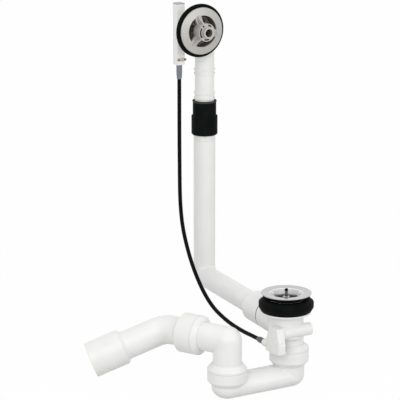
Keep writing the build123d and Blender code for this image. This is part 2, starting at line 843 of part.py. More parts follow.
# Rack: a sliding bar with a toothed comb that meets the pinion at its pitch line
gear_pitch = pi * gear_module
pitch_x = -pitch_radius
tooth_slope = tan(radians(pressure_angle))
half_tooth = (gear_pitch / 2 - backlash) / 2
teeth_below = 2
teeth_above = teeth_below + round(rack_travel / gear_pitch)
root_x = pitch_x - tooth_root * gear_module
crest_x = pitch_x + tooth_height * gear_module
comb_foot = head_height - (teeth_below + 0.5) * gear_pitch
comb_top = head_height + (teeth_above + 0.5) * gear_pitch
with BuildPart() as rack:
    block(
        (rack_left, mid_y - rack_thickness / 2, rack_foot),
        (rack_right, mid_y + rack_thickness / 2, rack_top),
    )
    block(
        (rack_right - past, mid_y - rack_thickness / 2, comb_foot),
        (root_x, mid_y + rack_thickness / 2, comb_top),
    )
    root_half = half_tooth + (pitch_x - root_x) * tooth_slope
    crest_half = half_tooth - (crest_x - pitch_x) * tooth_slope
    rack_face = Plane(origin=(0, mid_y, 0), x_dir=(1, 0, 0), z_dir=(0, -1, 0))
    for tooth in range(-teeth_below, teeth_above + 1):
        middle = head_height + tooth * gear_pitch
        tooth_face = outline(
            rack_face,
            [
                (root_x - past, middle - root_half),
                (root_x, middle - root_half),
                (crest_x, middle - crest_half),
                (crest_x, middle + crest_half),
                (root_x, middle + root_half),
                (root_x - past, middle + root_half),
            ],
        )
        extrude(tooth_face, amount=rack_thickness / 2, both=True)
    rod((rack_x, mid_y, rack_foot), (0, 0, 1), nipple_radius, nipple_pocket, Mode.SUBTRACT)
save(rack, "rack")

# Drive spindle: keyed front journal, shaft, pinion and tail journal in one moulding
base_radius = pitch_radius * cos(radians(pressure_angle))


def involute(radius):
    """Angle, in radians, that an involute has swept at a radius."""
    if radius <= base_radius:
        return 0.0
    unwound = sqrt((radius / base_radius) ** 2 - 1)
    return unwound - atan(unwound)


def pinion_outline():
    """Points of the pinion's teeth, with a gap at the rack's pitch point."""
    root = pitch_radius - tooth_root * gear_module
    crest = pitch_radius + tooth_height * gear_module
    flank = [root] + [base_radius + (crest - base_radius) * step / 3 for step in range(4)]
    half_angle = half_tooth / pitch_radius + involute(pitch_radius)
    points = []
    for tooth in range(pinion_teeth):
        middle = pi + (tooth + 0.5) * 2 * pi / pinion_teeth
        for radius in flank:
            angle = middle - half_angle + involute(radius)
            points.append((radius * cos(angle), radius * sin(angle)))
        for radius in reversed(flank):
            angle = middle + half_angle - involute(radius)
            points.append((radius * cos(angle), radius * sin(angle)))
    return points


def head_face(y):
    """Plane across the head's axis, seen from the front: local x is X and local y is up."""
    return Plane(origin=(0, y, head_height), x_dir=(1, 0, 0), z_dir=(0, -1, 0))


head_plane = turning_plane((0, 0, head_height), (0, 1, 0))
tail_front = chamber_floor - tail_length
with BuildPart() as drive_spindle:
    turn(
        head_plane,
        [
            (0, spindle_front),
            (journal_radius, spindle_front),
            (journal_radius, journal_back),
            (spindle_radius, journal_back + journal_radius - spindle_radius),
            (spindle_radius, tail_front - slide_gap),
            (tail_radius, tail_front - slide_gap),
            (tail_radius, chamber_floor - slide_gap),
            (0, chamber_floor - slide_gap),
        ],
    )
    extrude(outline(head_face(mid_y), pinion_outline()), amount=pinion_width / 2, both=True)
    with BuildSketch(head_face(spindle_front)) as key_face:
        Rectangle(key_square, key_square)
    extrude(key_face.sketch, amount=-key_depth, mode=Mode.SUBTRACT)
save(drive_spindle, "drive_spindle")

# Overflow body: chamber, clamping flange, rack housing and neck in one moulding
step_back = sleeve_end + past
comb_room_foot = comb_foot - rack_travel - slide_gap
comb_room_top = comb_top + slide_gap
with BuildPart() as overflow_body:
    turn(
        head_plane,
        [
            (0, head_seal_front + collar_setback),
            (head_collar_radius, head_seal_front + collar_setback),
            (head_collar_radius, head_flange_front),
            (head_flange_radius, head_flange_front),
            (head_flange_radius, head_flange_front + head_flange_thickness),
            (chamber_radius, head_flange_front + head_flange_thickness),
            (chamber_radius, step_back),
            (rear_radius, step_back + chamber_wall),
            (rear_radius, chamber_back - chamber_edge),
            (rear_radius - chamber_edge, chamber_back),
            (0, chamber_back),
        ],
    )
    block((housing_left, housing_front, housing_foot), (housing_right, housing_back, housing_top))
    block(
        (housing_right - past, housing_front, comb_room_foot - housing_wall),
        (crest_x + housing_wall, housing_back, comb_room_top + housing_wall),
    )
    rod((neck_offset, mid_y, neck_foot), (0, 0, 1), neck_radius, neck_top - neck_foot)
    with Locations((neck_offset, mid_y, neck_top)):
        Sphere(neck_radius)
    for drop in neck_rib_drops:
        rib_foot = head_height - drop - neck_rib_width / 2
        rod((neck_offset, mid_y, rib_foot), (0, 0, 1), neck_radius + neck_rib_height, neck_rib_width)
    # waterways
    turn(
        head_plane,
        [
            (0, head_seal_front),
            (chamber_bore, head_seal_front),
            (chamber_bore, step_back),
            (rear_radius - chamber_wall, step_back),
            (rear_radius - chamber_wall, chamber_floor),
            (0, chamber_floor),
        ],
        Mode.SUBTRACT,
    )
    rod(
        (neck_offset, mid_y, neck_foot - past), (0, 0, 1), neck_radius - neck_wall,
        neck_top - neck_foot + past, Mode.SUBTRACT,
    )
    with Locations((neck_offset, mid_y, neck_top)):
        Sphere(neck_radius - neck_wall, mode=Mode.SUBTRACT)
    # tail bearing on the back wall
    rod((0, chamber_floor, head_height), (0, -1, 0), tail_boss_radius, tail_length)
    rod((0, chamber_floor, head_height), (0, -1, 0), tail_radius + run_gap, tail_length + past, Mode.SUBTRACT)
    # rack channel, room for its comb, and the ferrule's socket with slots for the clip
    block(
        (channel_left, channel_front, ferrule_top + slide_gap),
        (channel_right, channel_back, housing_top + past),
        Mode.SUBTRACT,
    )
    block(
        (channel_right - past, channel_front, comb_room_foot),
        (crest_x, channel_back, comb_room_top),
        Mode.SUBTRACT,
    )
    rod(
        (rack_x, mid_y, housing_foot - past), (0, 0, 1), ferrule_radius + fit_gap,
        ferrule_head + past + slide_gap, Mode.SUBTRACT,
    )
    for side in (-1, 1):
        slot_x = rack_x + side * (clip_leg + clip_thickness / 2)
        block(
            (slot_x - clip_thickness / 2 - fit_gap, housing_front - past, clip_z - fit_gap),
            (slot_x + clip_thickness / 2 + fit_gap, clip_end + fit_gap, clip_z + clip_height + fit_gap),
            Mode.SUBTRACT,
        )
save(overflow_body, "overflow_body")

with BuildPart() as rack_housing_cap:
    block(
        (housing_left, housing_front, housing_top),
        (housing_right, housing_back, housing_top + cap_thickness),
    )
    chamfer(rack_housing_cap.faces().sort_by(Axis.Z)[-1].edges(), cap_thickness / 3)
    block(
        (channel_left + fit_gap, channel_front + fit_gap, housing_top - cap_plug),
        (channel_right - fit_gap, channel_back - fit_gap, housing_top),
    )
save(rack_housing_cap, "rack_housing_cap")

# Face ring: rim, three lands with gusset ribs, slotted hub with a keyhole boss, and a threaded sleeve


def spoke_plane(angle):
    """Plane through the head's axis: local x is the radius at an angle, local y is Y."""
    turn_by = radians(angle)
    return Plane(
        origin=(0, 0, head_height),
        x_dir=(cos(turn_by), 0, sin(turn_by)),
        z_dir=(-sin(turn_by), 0, cos(turn_by)),
    )


dome_front = head_reach - face_dome
boss_front = head_reach - boss_reach
boss_step = hub_front + hub_plate
slot_outer = hub_radius - hub_wall + hub_slot_width / 4
slot_inner = slot_outer - hub_slot_width
with BuildPart() as overflow_face_ring:
    turn(
        head_plane,
        [
            (window_radius, dome_front),
            (face_radius - face_edge, head_reach),
            (face_radius, head_reach + face_edge),
            (face_radius, face_back),
            (sleeve_radius, face_back),
            (sleeve_radius, sleeve_end),
            (sleeve_radius - sleeve_wall, sleeve_end),
            (sleeve_radius - sleeve_wall, face_back),
            (window_radius, face_back),
        ],
    )
    turn(
        head_plane,
        [
            (boss_nose_radius - fit_gap, hub_front),
            (hub_radius, hub_front),
            (hub_radius, face_back),
            (hub_radius - hub_wall, face_back),
            (hub_radius - hub_wall, boss_step),
            (boss_nose_radius - fit_gap, boss_step),
        ],
    )
    turn(
        head_plane,
        [
            (knob_bore_radius, boss_front),
            (boss_nose_radius, boss_front),
            (boss_nose_radius, boss_step),
            (boss_radius, boss_step),
            (boss_radius, journal_back),
            (journal_radius + run_gap, journal_back),
            (journal_radius + run_gap, spindle_front - slide_gap),
            (knob_bore_radius, spindle_front - slide_gap),
        ],
    )
    for spoke in range(spokes):
        plane = spoke_plane(spoke_turn + spoke * 360 / spokes)
        land = outline(
            plane,
            [
                (hub_radius - hub_wall / 2, dome_front),
                (window_radius + past, dome_front + fit_gap),
                (window_radius + past, face_back),
                (hub_radius - hub_wall / 2, face_back),
            ],
        )
        extrude(land, amount=land_width / 2, both=True)
        rib = outline(
            plane,
            [
                (hub_radius - hub_wall / 2, hub_front + rib_setback),
                (window_radius + rib_overlap, dome_front + fit_gap),
                (window_radius + rib_overlap, face_back - fit_gap),
                (hub_radius - hub_wall / 2, face_back - fit_gap),
            ],
        )
        extrude(rib, amount=rib_width / 2, both=True)
        web = outline(
            plane,
            [
                (boss_radius - hub_wall / 2, hub_front + fit_gap),
                (hub_radius - hub_wall / 2, hub_front + fit_gap),
                (hub_radius - hub_wall / 2, face_back),
                (boss_radius - hub_wall / 2, face_back),
            ],
        )
        extrude(web, amount=rib_width / 2, both=True)
    for start, sweep_angle in hub_slots:
        slot = outline(
            spoke_plane(start),
            [
                (slot_inner, hub_front - past),
                (slot_outer, hub_front - past),
                (slot_outer, boss_step + past),
                (slot_inner, boss_step + past),
            ],
        )
        head_axis = Axis((0, 0, head_height), (0, -1, 0))
        revolve(slot, axis=head_axis, revolution_arc=sweep_angle, mode=Mode.SUBTRACT)
save(overflow_face_ring, "overflow_face_ring")

with BuildPart() as overflow_seal:
    seal_back = head_flange_front
    seal_middle = (head_seal_front + seal_back) / 2
    turn(
        head_plane,
        [
            (head_collar_radius + fit_gap, head_seal_front),
            (head_seal_radius - head_seal_edge, head_seal_front),
            (head_seal_radius, head_seal_front + head_seal_edge),
            (head_seal_radius - head_seal_groove, seal_middle),
            (head_seal_radius, seal_back - head_seal_edge),
            (head_seal_radius - head_seal_edge, seal_back),
            (head_collar_radius + fit_gap, seal_back),
        ],
    )
save(overflow_seal, "overflow_seal")

# Rubber sleeve between the neck and the pipe
neck_plane = turning_plane((neck_offset, mid_y, 0), (0, 0, 1))
with BuildPart() as rubber_sleeve:
    turn(
        neck_plane,
        [
            (neck_radius + fit_gap, sleeve_top),
            (sleeve_neck_radius, sleeve_top),
            (sleeve_neck_radius, sleeve_step + sleeve_edge),
            (sleeve_pipe_radius, sleeve_step - sleeve_edge / 2),
            (sleeve_pipe_radius, sleeve_foot + sleeve_edge),
            (sleeve_pipe_radius - sleeve_edge, sleeve_foot),
            (pipe_radius + fit_gap, sleeve_foot),
            (pipe_radius + fit_gap, pipe_top),
            (neck_radius - neck_wall, pipe_top),
            (neck_radius - neck_wall, neck_foot),
            (neck_radius + fit_gap, neck_foot),
        ],
    )
save(rubber_sleeve, "rubber_sleeve")

# Overflow pipe with a bell that pushes over the waste body's branch
branch_plane = turning_plane((0, 0, branch_z), branch_dir)
spigot_clear = branch_spigot_radius + fit_gap
seal_groove_start = bell_mouth + bell_seal_inset
seal_groove_end = seal_groove_start + bell_seal_width
pipe_bore = pipe_radius - pipe_wall
with BuildPart() as overflow_pipe:
    with BuildLine() as pipe_line:
        FilletPolyline(
            (neck_offset, mid_y, pipe_top),
            (neck_offset, mid_y, branch_z),
            branch_origin + branch_dir * pipe_start,
            radius=pipe_bend,
        )
    with BuildSketch(Plane(origin=(neck_offset, mid_y, pipe_top), z_dir=(0, 0, -1))):
        Circle(pipe_radius)
    sweep()
    turn(
        branch_plane,
        [
            (0, bell_mouth),
            (branch_radius, bell_mouth),
            (branch_radius, bell_back),
            (pipe_radius, pipe_start),
            (0, pipe_start),
        ],
    )
    with BuildSketch(Plane(origin=(neck_offset, mid_y, pipe_top), z_dir=(0, 0, -1))) as pipe_hole:
        Circle(pipe_bore)
    sweep(pipe_hole.sketch, path=pipe_line.line, mode=Mode.SUBTRACT)
    turn(
        branch_plane,
        [
            (0, bell_mouth - past),
            (spigot_clear, bell_mouth - past),
            (spigot_clear, seal_groove_start),
            (spigot_clear + bell_seal_depth, seal_groove_start),
            (spigot_clear + bell_seal_depth, seal_groove_end),
            (spigot_clear, seal_groove_end),
            (spigot_clear, bell_mouth + branch_spigot_length),
            (pipe_bore, bell_mouth + branch_spigot_length),
            (pipe_bore, pipe_start + past),
            (0, pipe_start + past),
        ],
        Mode.SUBTRACT,
    )
    for drop in pipe_groove_drops:
        groove_z = sleeve_foot - drop
        turn(
            neck_plane,
            [
                (pipe_radius - pipe_groove_depth, groove_z),
                (pipe_radius + past, groove_z + pipe_groove_width / 2),
                (pipe_radius + past, groove_z - pipe_groove_width / 2),
            ],
            Mode.SUBTRACT,
        )
save(overflow_pipe, "overflow_pipe")

with BuildPart() as branch_lip_seal:
    turn(
        branch_plane,
        [
            (spigot_clear, seal_groove_start + fit_gap),
            (spigot_clear + bell_seal_depth - fit_gap, seal_groove_start + fit_gap),
            (spigot_clear + bell_seal_depth - fit_gap, seal_groove_end - fit_gap),
            (spigot_clear + bell_seal_depth / 2, seal_groove_end - fit_gap),
            (spigot_clear, seal_groove_end - bell_seal_width / 2),
        ],
    )
save(branch_lip_seal, "branch_lip_seal")

# Push-fit sockets of the trap. Each plane's local y runs from the socket's mouth into its pipe.


def socket_outside(plane, parting, straight, tube):
    """Swollen end of a pipe, from its parting line to its tube."""
    turn(
        plane,
        [
            (0, parting),
            (socket_radius, parting),
            (socket_radius, parting + straight),
            (tube, parting + straight + socket_taper),
            (0, parting + straight + socket_taper),
        ],
    )


def socket_inside(plane, parting, depth, bore):
    """Seal seat and spigot bore of a socket."""
    turn(
        plane,
        [
            (0, parting - past),
            (seat_radius, parting - past),
            (seat_radius, parting + seat_depth),
            (spigot_bore, parting + seat_depth),
            (spigot_bore, parting + depth),
            (bore, parting + depth),
            (bore, parting + depth + socket_taper),
            (0, parting + depth + socket_taper),
        ],
        Mode.SUBTRACT,
    )


def socket_ring(plane, parting, ring_taper):
    """Snap ring that closes a socket, with a tongue in the seal's seat."""
    turn(
        plane,
        [
            (spigot_bore, parting + ring_tongue),
            (seat_radius - fit_gap, parting + ring_tongue),
            (seat_radius - fit_gap, parting),
            (socket_radius, parting),
            (socket_radius, parting - ring_straight),
            (spigot_bore + ring_lip, parting - ring_straight - ring_taper),
            (spigot_bore, parting - ring_straight - ring_taper),
        ],
    )


def lip_seal(plane, parting):
    """Rubber lip seal behind the snap ring."""
    front = parting + ring_tongue + fit_gap
    back = parting + seat_depth - fit_gap
    turn(
        plane,
        [
            (spigot_bore, front),
            (seat_radius - fit_gap, front),
            (seat_radius - fit_gap, back),
            (seat_radius - lip_root, back),
            (spigot_bore + lip_root, front + lip_height),
            (spigot_bore, front + lip_height),
        ],
    )


inlet_plane = turning_plane((outlet_offset, 0, 0), (0, 0, -1))
riser_plane = turning_plane((-riser_distance, 0, 0), (0, 0, -1))
arm_plane = turning_plane(riser_corner, arm_dir)


def u_shape(radius, half_height, mode=Mode.ADD):
    """Two round legs, their bowl-shaped feet and the oval tube between them."""
    for leg_x, parting in ((outlet_offset, inlet_parting), (-riser_distance, riser_parting)):
        rod((leg_x, 0, u_tube_z), (0, 0, 1), radius, parting - spigot_depth - u_tube_z, mode)
        bowl_plane = turning_plane((leg_x, 0, u_tube_z), (0, 0, 1))
        with BuildSketch(bowl_plane) as bowl_section:
            with BuildLine():
                Polyline((0, -half_height), (0, 0), (radius, 0))
                EllipticalCenterArc((0, 0), radius, half_height, start_angle=270, arc_size=90)
            make_face()
        revolve(bowl_section.sketch, axis=Axis(bowl_plane.origin, bowl_plane.y_dir), mode=mode)
    with BuildSketch(Plane.YZ.offset(-riser_distance)) as tube_section:
        with Locations((0, u_tube_z)):
            Ellipse(radius, half_height)
    extrude(tube_section.sketch, amount=riser_distance + outlet_offset, mode=mode)


with BuildPart() as trap_u_bend:
    u_shape(u_leg_radius, u_tube_half_height)
    socket_outside(inlet_plane, -inlet_parting, inlet_socket_straight, u_leg_radius)
    socket_outside(riser_plane, -riser_parting, socket_straight, u_leg_radius)
    u_shape(u_leg_radius - u_wall, u_tube_half_height - u_wall, Mode.SUBTRACT)
    socket_inside(inlet_plane, -inlet_parting, spigot_depth, u_leg_radius - u_wall)
    socket_inside(riser_plane, -riser_parting, spigot_depth, u_leg_radius - u_wall)
    groove_level = inlet_groove_drop - inlet_parting
    turn(
        inlet_plane,
        [
            (socket_radius - socket_groove, groove_level),
            (socket_radius + past, groove_level + socket_groove + past),
            (socket_radius + past, groove_level - socket_groove - past),
        ],
        Mode.SUBTRACT,
    )
save(trap_u_bend, "trap_u_bend")

with BuildPart() as inlet_socket_ring:
    socket_ring(inlet_plane, -inlet_parting, ring_chamfer)
save(inlet_socket_ring, "inlet_socket_ring")

with BuildPart() as inlet_lip_seal:
    lip_seal(inlet_plane, -inlet_parting)
save(inlet_lip_seal, "inlet_lip_seal")

with BuildPart() as riser_socket_ring:
    socket_ring(riser_plane, -riser_parting, riser_ring_chamfer)
save(riser_socket_ring, "riser_socket_ring")

with BuildPart() as riser_lip_seal:
    lip_seal(riser_plane, -riser_parting)
save(riser_lip_seal, "riser_lip_seal")

# Tight elbow with plain ends: the riser below and the arm behind
riser_foot = riser_parting - spigot_depth + slide_gap


def elbow_shape(radius, overrun, mode=Mode.ADD):
    """Riser, ball-shaped corner and arm of the elbow."""
    rod((-riser_distance, 0, riser_foot - overrun), (0, 0, 1), radius, arm_z - riser_foot + overrun, mode)
    with Locations(riser_corner):
        Sphere(radius, mode=mode)
    rod(riser_corner, arm_dir, radius, arm_spigot_end + overrun, mode)


with BuildPart() as trap_elbow:
    elbow_shape(drain_radius, 0)
    elbow_shape(drain_radius - drain_wall, past, Mode.SUBTRACT)
save(trap_elbow, "trap_elbow")

with BuildPart() as arm_socket_ring:
    socket_ring(arm_plane, arm_parting, ring_chamfer)
save(arm_socket_ring, "arm_socket_ring")

with BuildPart() as arm_lip_seal:
    lip_seal(arm_plane, arm_parting)
save(arm_lip_seal, "arm_lip_seal")

# Outlet bend: socket, bend and widened end in one moulding
outlet_plane = turning_plane(outlet_corner, outlet_dir)
wide_start = outlet_shoulder - outlet_shoulder_length
outlet_bore = outlet_radius - outlet_wall
with BuildPart() as outlet_bend:
    with BuildLine() as outlet_line:
        FilletPolyline(
            riser_corner + arm_dir * (arm_parting + spigot_depth),
            outlet_corner,
            outlet_corner + outlet_dir * outlet_shoulder,
            radius=outlet_bend_radius,
        )
    outlet_start = Plane(origin=outlet_line.line @ 0, z_dir=arm_dir)
    with BuildSketch(outlet_start):
        Circle(drain_radius)
    sweep()
    socket_outside(arm_plane, arm_parting, arm_socket_straight, drain_radius)
    turn(
        outlet_plane,
        [
            (0, wide_start),
            (drain_radius, wide_start),
            (outlet_radius, outlet_shoulder),
            (outlet_radius, outlet_length - outlet_edge),
            (outlet_radius - outlet_edge, outlet_length),
            (0, outlet_length),
        ],
    )
    with BuildSketch(outlet_start) as outlet_hole:
        Circle(drain_radius - drain_wall)
    sweep(outlet_hole.sketch, path=outlet_line.line, mode=Mode.SUBTRACT)
    turn(
        outlet_plane,
        [
            (0, wide_start),
            (drain_radius - drain_wall, wide_start),
            (outlet_bore, outlet_shoulder),
            (outlet_bore, outlet_length + past),
            (0, outlet_length + past),
        ],
        Mode.SUBTRACT,
    )
    socket_inside(arm_plane, arm_parting, arm_spigot_depth, drain_radius - drain_wall)
save(outlet_bend, "outlet_bend")
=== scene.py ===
"""Bath waste and overflow: its control cable, small fittings and finishes.

Lengths are in metres. The origin is the middle of the waste hole on top of the bath floor, +Z is up, and the
overflow head looks along -Y.
"""

from math import atan2, cos, radians, sin

import bmesh
import bpy
from bpy.props import FloatProperty, FloatVectorProperty, PointerProperty
from mathutils import Matrix, Vector


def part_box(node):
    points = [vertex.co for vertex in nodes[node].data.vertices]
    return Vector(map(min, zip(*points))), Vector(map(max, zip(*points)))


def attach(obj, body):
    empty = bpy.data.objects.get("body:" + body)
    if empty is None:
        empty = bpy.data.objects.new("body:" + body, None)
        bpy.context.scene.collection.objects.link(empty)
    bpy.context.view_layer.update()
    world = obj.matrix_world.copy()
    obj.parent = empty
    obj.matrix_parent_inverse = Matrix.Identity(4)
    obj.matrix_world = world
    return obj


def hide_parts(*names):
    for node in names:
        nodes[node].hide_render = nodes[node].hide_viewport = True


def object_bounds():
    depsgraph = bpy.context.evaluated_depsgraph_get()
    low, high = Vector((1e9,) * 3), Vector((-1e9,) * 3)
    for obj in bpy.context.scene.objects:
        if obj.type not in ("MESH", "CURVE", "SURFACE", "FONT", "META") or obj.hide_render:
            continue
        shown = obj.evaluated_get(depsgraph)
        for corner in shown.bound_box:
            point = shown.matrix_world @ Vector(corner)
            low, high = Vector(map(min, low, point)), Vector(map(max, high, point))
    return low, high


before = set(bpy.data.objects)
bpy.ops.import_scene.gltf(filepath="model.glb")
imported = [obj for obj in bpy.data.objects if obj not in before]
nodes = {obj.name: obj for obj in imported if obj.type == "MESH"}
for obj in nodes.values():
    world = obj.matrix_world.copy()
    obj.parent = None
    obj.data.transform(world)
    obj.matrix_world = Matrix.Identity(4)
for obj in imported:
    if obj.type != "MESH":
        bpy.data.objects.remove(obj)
cad_low, cad_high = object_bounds()

bl_info = {
    "name": "Bath waste and overflow",
    "version": (1, 0, 0),
    "blender": (4, 5, 0),
    "location": "View3D > Sidebar > Bath waste",
    "description": "Dresses a cable-operated bath waste, overflow and trap",
    "category": "Object",
}

MM = 0.001
WASTE_MIDDLE = (0, 0, 0)  # on the axis of the waste, which runs along Z
ACROSS_WASTE = (1, 1, 0)
HEAD_MIDDLE = (0, 0, 0.335)  # on the axis of the overflow head, which runs along Y
ACROSS_HEAD = (1, 0, 1)
CHAMBER_FRONT = 237.9 * MM  # Y of the overflow chamber's mouth
CHAMBER_STEP = 248.6 * MM  # Y where it narrows
CHAMBER_FLOOR = 272.4 * MM  # Y just past its back wall's inner face
CHAMBER_RADIUS = 25.8 * MM
CHAMBER_BACK_RADIUS = 19.0 * MM
PAINT_BACK = 232.2 * MM  # Y where the face ring's paint ends
# Y and radius, in millimetres, of the bores in which the paint ends sooner, so that their walls take the
# dark colour that is partly painted shade
BARE_AND_SHADED_BORES = ((216.3, 12.4), (210.8, 6.1))
# inside the cup the plating gives way to painted reflected light, above the spider's arms and outside the
# hub
CUP_RADIUS = 22.4 * MM  # inside of the waste's cup
CUP_EDGE = 1.5 * MM  # soft edge between the cup's finish and the rim's
SPIDER_TOP = -6.4 * MM  # Z of the arms across the cup's foot
CUP_FADE = 3.0 * MM  # height in which the cup's wall brightens above them
HUB_EDGE = 6.0 * MM  # just outside the hub that guides the pin
FADE = 0.2 * MM  # soft edge between two finishes
SMOOTH_ANGLE = radians(32)
SQUARELY = 0.9  # how far a face or an edge has to point along an axis to count as facing it
PATTERN_LOW, PATTERN_HIGH = 0.3, 0.7  # the part of a noise that a finish uses
BRANCH = (0.0855, 0.9963, 0.0)  # the way that the waste's overflow branch points


# Settings


def length(label, about, millimetres):
    """A length that a user may change, given here in millimetres."""
    return FloatProperty(name=label, description=about, default=millimetres * MM, unit="LENGTH", precision=5)


def colour(label, about, value):
    """A linear colour that a user may change."""
    return FloatVectorProperty(
        name=label, description=about, default=value, size=3, min=0.0, max=1.0, subtype="COLOR"
    )


class FinishSettings(bpy.types.PropertyGroup):
    """Colours of the mouldings, metal and rubber, and of the painted light and shade."""

    moulding: colour("Mouldings", "White polypropylene of the waste, trap and overflow", (0.8, 0.798, 0.787))
    pipe: colour("Pipe", "White extruded overflow pipe", (0.79, 0.79, 0.782))
    plate: colour("Waste flange", "Satin chrome plating", (0.55, 0.553, 0.556))
    # painted reflected light: a near-white colour inside the waste's cup, where the plating is made hardly
    # metallic
    throat_light: colour("Waste throat", "Painted reflected light: a brighter colour inside the cup of the waste", (0.93, 0.93, 0.93))
    face: colour("Overflow face", "Satin silver paint on the front of the face ring", (0.46, 0.455, 0.435))
    # unpainted plastic of the face ring with painted shade: darker and browner than the plastic, for the
    # shade in its bores, slots and windows
    core: colour("Face core", "Bare plastic inside and behind the painted face, darkened as painted shade", (0.2, 0.178, 0.15))
    rubber: colour("Rubber", "Seals, gasket and sleeve", (0.0045, 0.0055, 0.005))
    sheath: colour("Cable sheath", "Black plastic of the control cable", (0.0035, 0.004, 0.0038))
    ferrule: colour("Upper ferrule", "Slate plastic at the rack housing", (0.17, 0.188, 0.23))
    # painted shade: a darker copy of the slate plastic, for the shade that the lower ferrule sits in
    ferrule_shade: colour("Lower ferrule", "Slate plastic at the lever box, darkened as painted shade", (0.085, 0.1, 0.1))
    # painted shade: a darker brownish colour on the walls inside the overflow head, where shade falls
    chamber_shade: colour("Chamber", "Painted shade on the plastic inside the overflow head", (0.34, 0.29, 0.245))
    works: colour("Works", "Grey acetal of the rack, spindle, crank and lift arm", (0.36, 0.365, 0.36))
    brass: colour("Brass", "Lever shaft", (0.62, 0.43, 0.2))
    clip: colour("Hairpin clip", "Tan plated spring clip", (0.45, 0.38, 0.32))
    # painted shade: near-black pins put in the clip's eyes, where there is shade
    pin: colour("Clip pins", "Near-black pins in the clip's eyes, as painted shade", (0.03, 0.03, 0.032))
    steel: colour("Steel", "Lift pin and inner wires", (0.3, 0.3, 0.295))


class CableSettings(bpy.types.PropertyGroup):
    """Size of the control cable."""

    diameter: length("Diameter", "Outside of the sheath", 5.8)
    run: length("Length", "Sheath between the two ferrule sockets", 494.5)


class FittingSettings(bpy.types.PropertyGroup):
    """Sizes of the small fittings and of the marks that moulding leaves."""

    clip_span: length("Clip length", "Hairpin clip across the rack housing", 15.0)
    clip_height: length("Clip height", "Width of the clip's strip", 3.6)
    clip_strip: length("Clip strip", "Thickness of the clip's strip", 1.6)
    clip_gap: length("Clip gap", "Between the clip's two legs", 6.6)
    clip_eye: length("Clip eye", "Radius of the eye at each end", 1.25)
    hook_width: length("Hook width", "Snap hook along the edge of the lever cover", 4.2)
    hook_reach: length("Hook reach", "Snap hook across the lever box", 6.0)
    hook_strip: length("Hook strip", "Thickness of a snap hook", 0.9)
    sleeve_neck: length("Sleeve neck", "Radius of the rubber sleeve's upper part", 17.2)
    lip_height: length("Sleeve lip height", "Bead at the top of the rubber sleeve", 2.4)
    lip_proud: length("Sleeve lip", "How far the bead stands out from the sleeve", 0.5)
    seam: length("Seam", "Half the width of a mould's parting line", 0.22)
    joint: length("Joint", "Shaded edge where a socket's ring meets its pipe", 0.55)
    bell_joint: length("Bell joint", "Shaded edge at the mouth of the overflow pipe's bell", 1.6)


class StageSettings(bpy.types.PropertyGroup):
    """Camera, floor and light."""

    azimuth: FloatProperty(
        name="Azimuth", description="Camera's turn about Z", default=radians(-30.4), subtype="ANGLE"
    )
    elevation: FloatProperty(
        name="Elevation", description="Camera's height angle", default=radians(14.5), subtype="ANGLE"
    )
    distance: length("Distance", "Camera to the middle of the view", 2930.0)
    lens: FloatProperty(name="Lens", description="Focal length", default=192.96, unit="CAMERA")
    middle: FloatVectorProperty(
        name="Middle", description="Point at the middle of the view", default=(-0.1029, 0.0604, 0.1364),
        size=3, subtype="TRANSLATION",
    )
    floor_gap: length("Floor gap", "Floor below the lowest point", 0.5)
    floor: colour("Floor", "Pale floor", (0.64, 0.64, 0.64))
    backdrop: FloatProperty(
        name="Backdrop", description="Share of plain white in the floor that the camera sees", default=0.98,
        min=0.0, max=1.0,
    )
    sky: FloatProperty(name="Sky", description="Strength of the light from all round", default=0.8, min=0.0)
    key: FloatProperty(
        name="Key lamp", description="Soft lamp on the left", default=13.0, min=0.0, unit="POWER",
    )
    fill: FloatProperty(
        name="Fill lamp", description="Soft lamp on the right", default=8.5, min=0.0, unit="POWER",
    )
    top: FloatProperty(name="Top lamp", description="Soft lamp overhead", default=3.0, min=0.0, unit="POWER")


class BathWasteSettings(bpy.types.PropertyGroup):
    """All the settings of the bath waste."""

    finish: PointerProperty(type=FinishSettings, name="Finishes", description="Colours")
    cable: PointerProperty(type=CableSettings, name="Cable", description="Control cable")
    fitting: PointerProperty(type=FittingSettings, name="Fittings", description="Small fittings")
    stage: PointerProperty(type=StageSettings, name="Stage", description="Camera, floor and light")


def settings():
    """The scene's own copy of the settings."""
    return bpy.context.scene.bath_waste


# Building finishes out of shader nodes


def put(tree, kind, options, inputs):
    """Add a shader node, set its options, then set its inputs or link them to other nodes' outputs."""
    node = tree.nodes.new(kind)
    for option, value in options.items():
        setattr(node, option, value)
    for socket, value in inputs.items():
        if isinstance(value, bpy.types.NodeSocket):
            tree.links.new(value, node.inputs[socket])
        else:
            node.inputs[socket].default_value = value
    return node.outputs[0]


def start_finish(name):
    """A new finish with its shader and the place on the object that its patterns read."""
    finish = bpy.data.materials.new(name)
    finish.use_nodes = True
    tree = finish.node_tree
    place = tree.nodes.new("ShaderNodeTexCoord").outputs["Object"]
    return finish, tree, tree.nodes["Principled BSDF"].inputs, place


def rgba(value, strength=1.0):
    """A shader colour from a setting, lighter or darker by a factor."""
    return (*(min(1.0, part * strength) for part in value), 1.0)


def cloud(tree, place, scale, detail=2.0):
    """Soft noise over the object."""
    return put(tree, "ShaderNodeTexNoise", {}, {"Vector": place, "Scale": scale, "Detail": detail})


def stretched(tree, place, scale):
    """The object's place, drawn out along chosen axes."""
    return put(tree, "ShaderNodeVectorMath", {"operation": "MULTIPLY"}, {0: place, 1: scale})


def spread(tree, value, low, high, start=PATTERN_LOW, stop=PATTERN_HIGH):
    """A pattern brought into a range."""
    return put(
        tree, "ShaderNodeMapRange", {},
        {"Value": value, "From Min": start, "From Max": stop, "To Min": low, "To Max": high},
    )


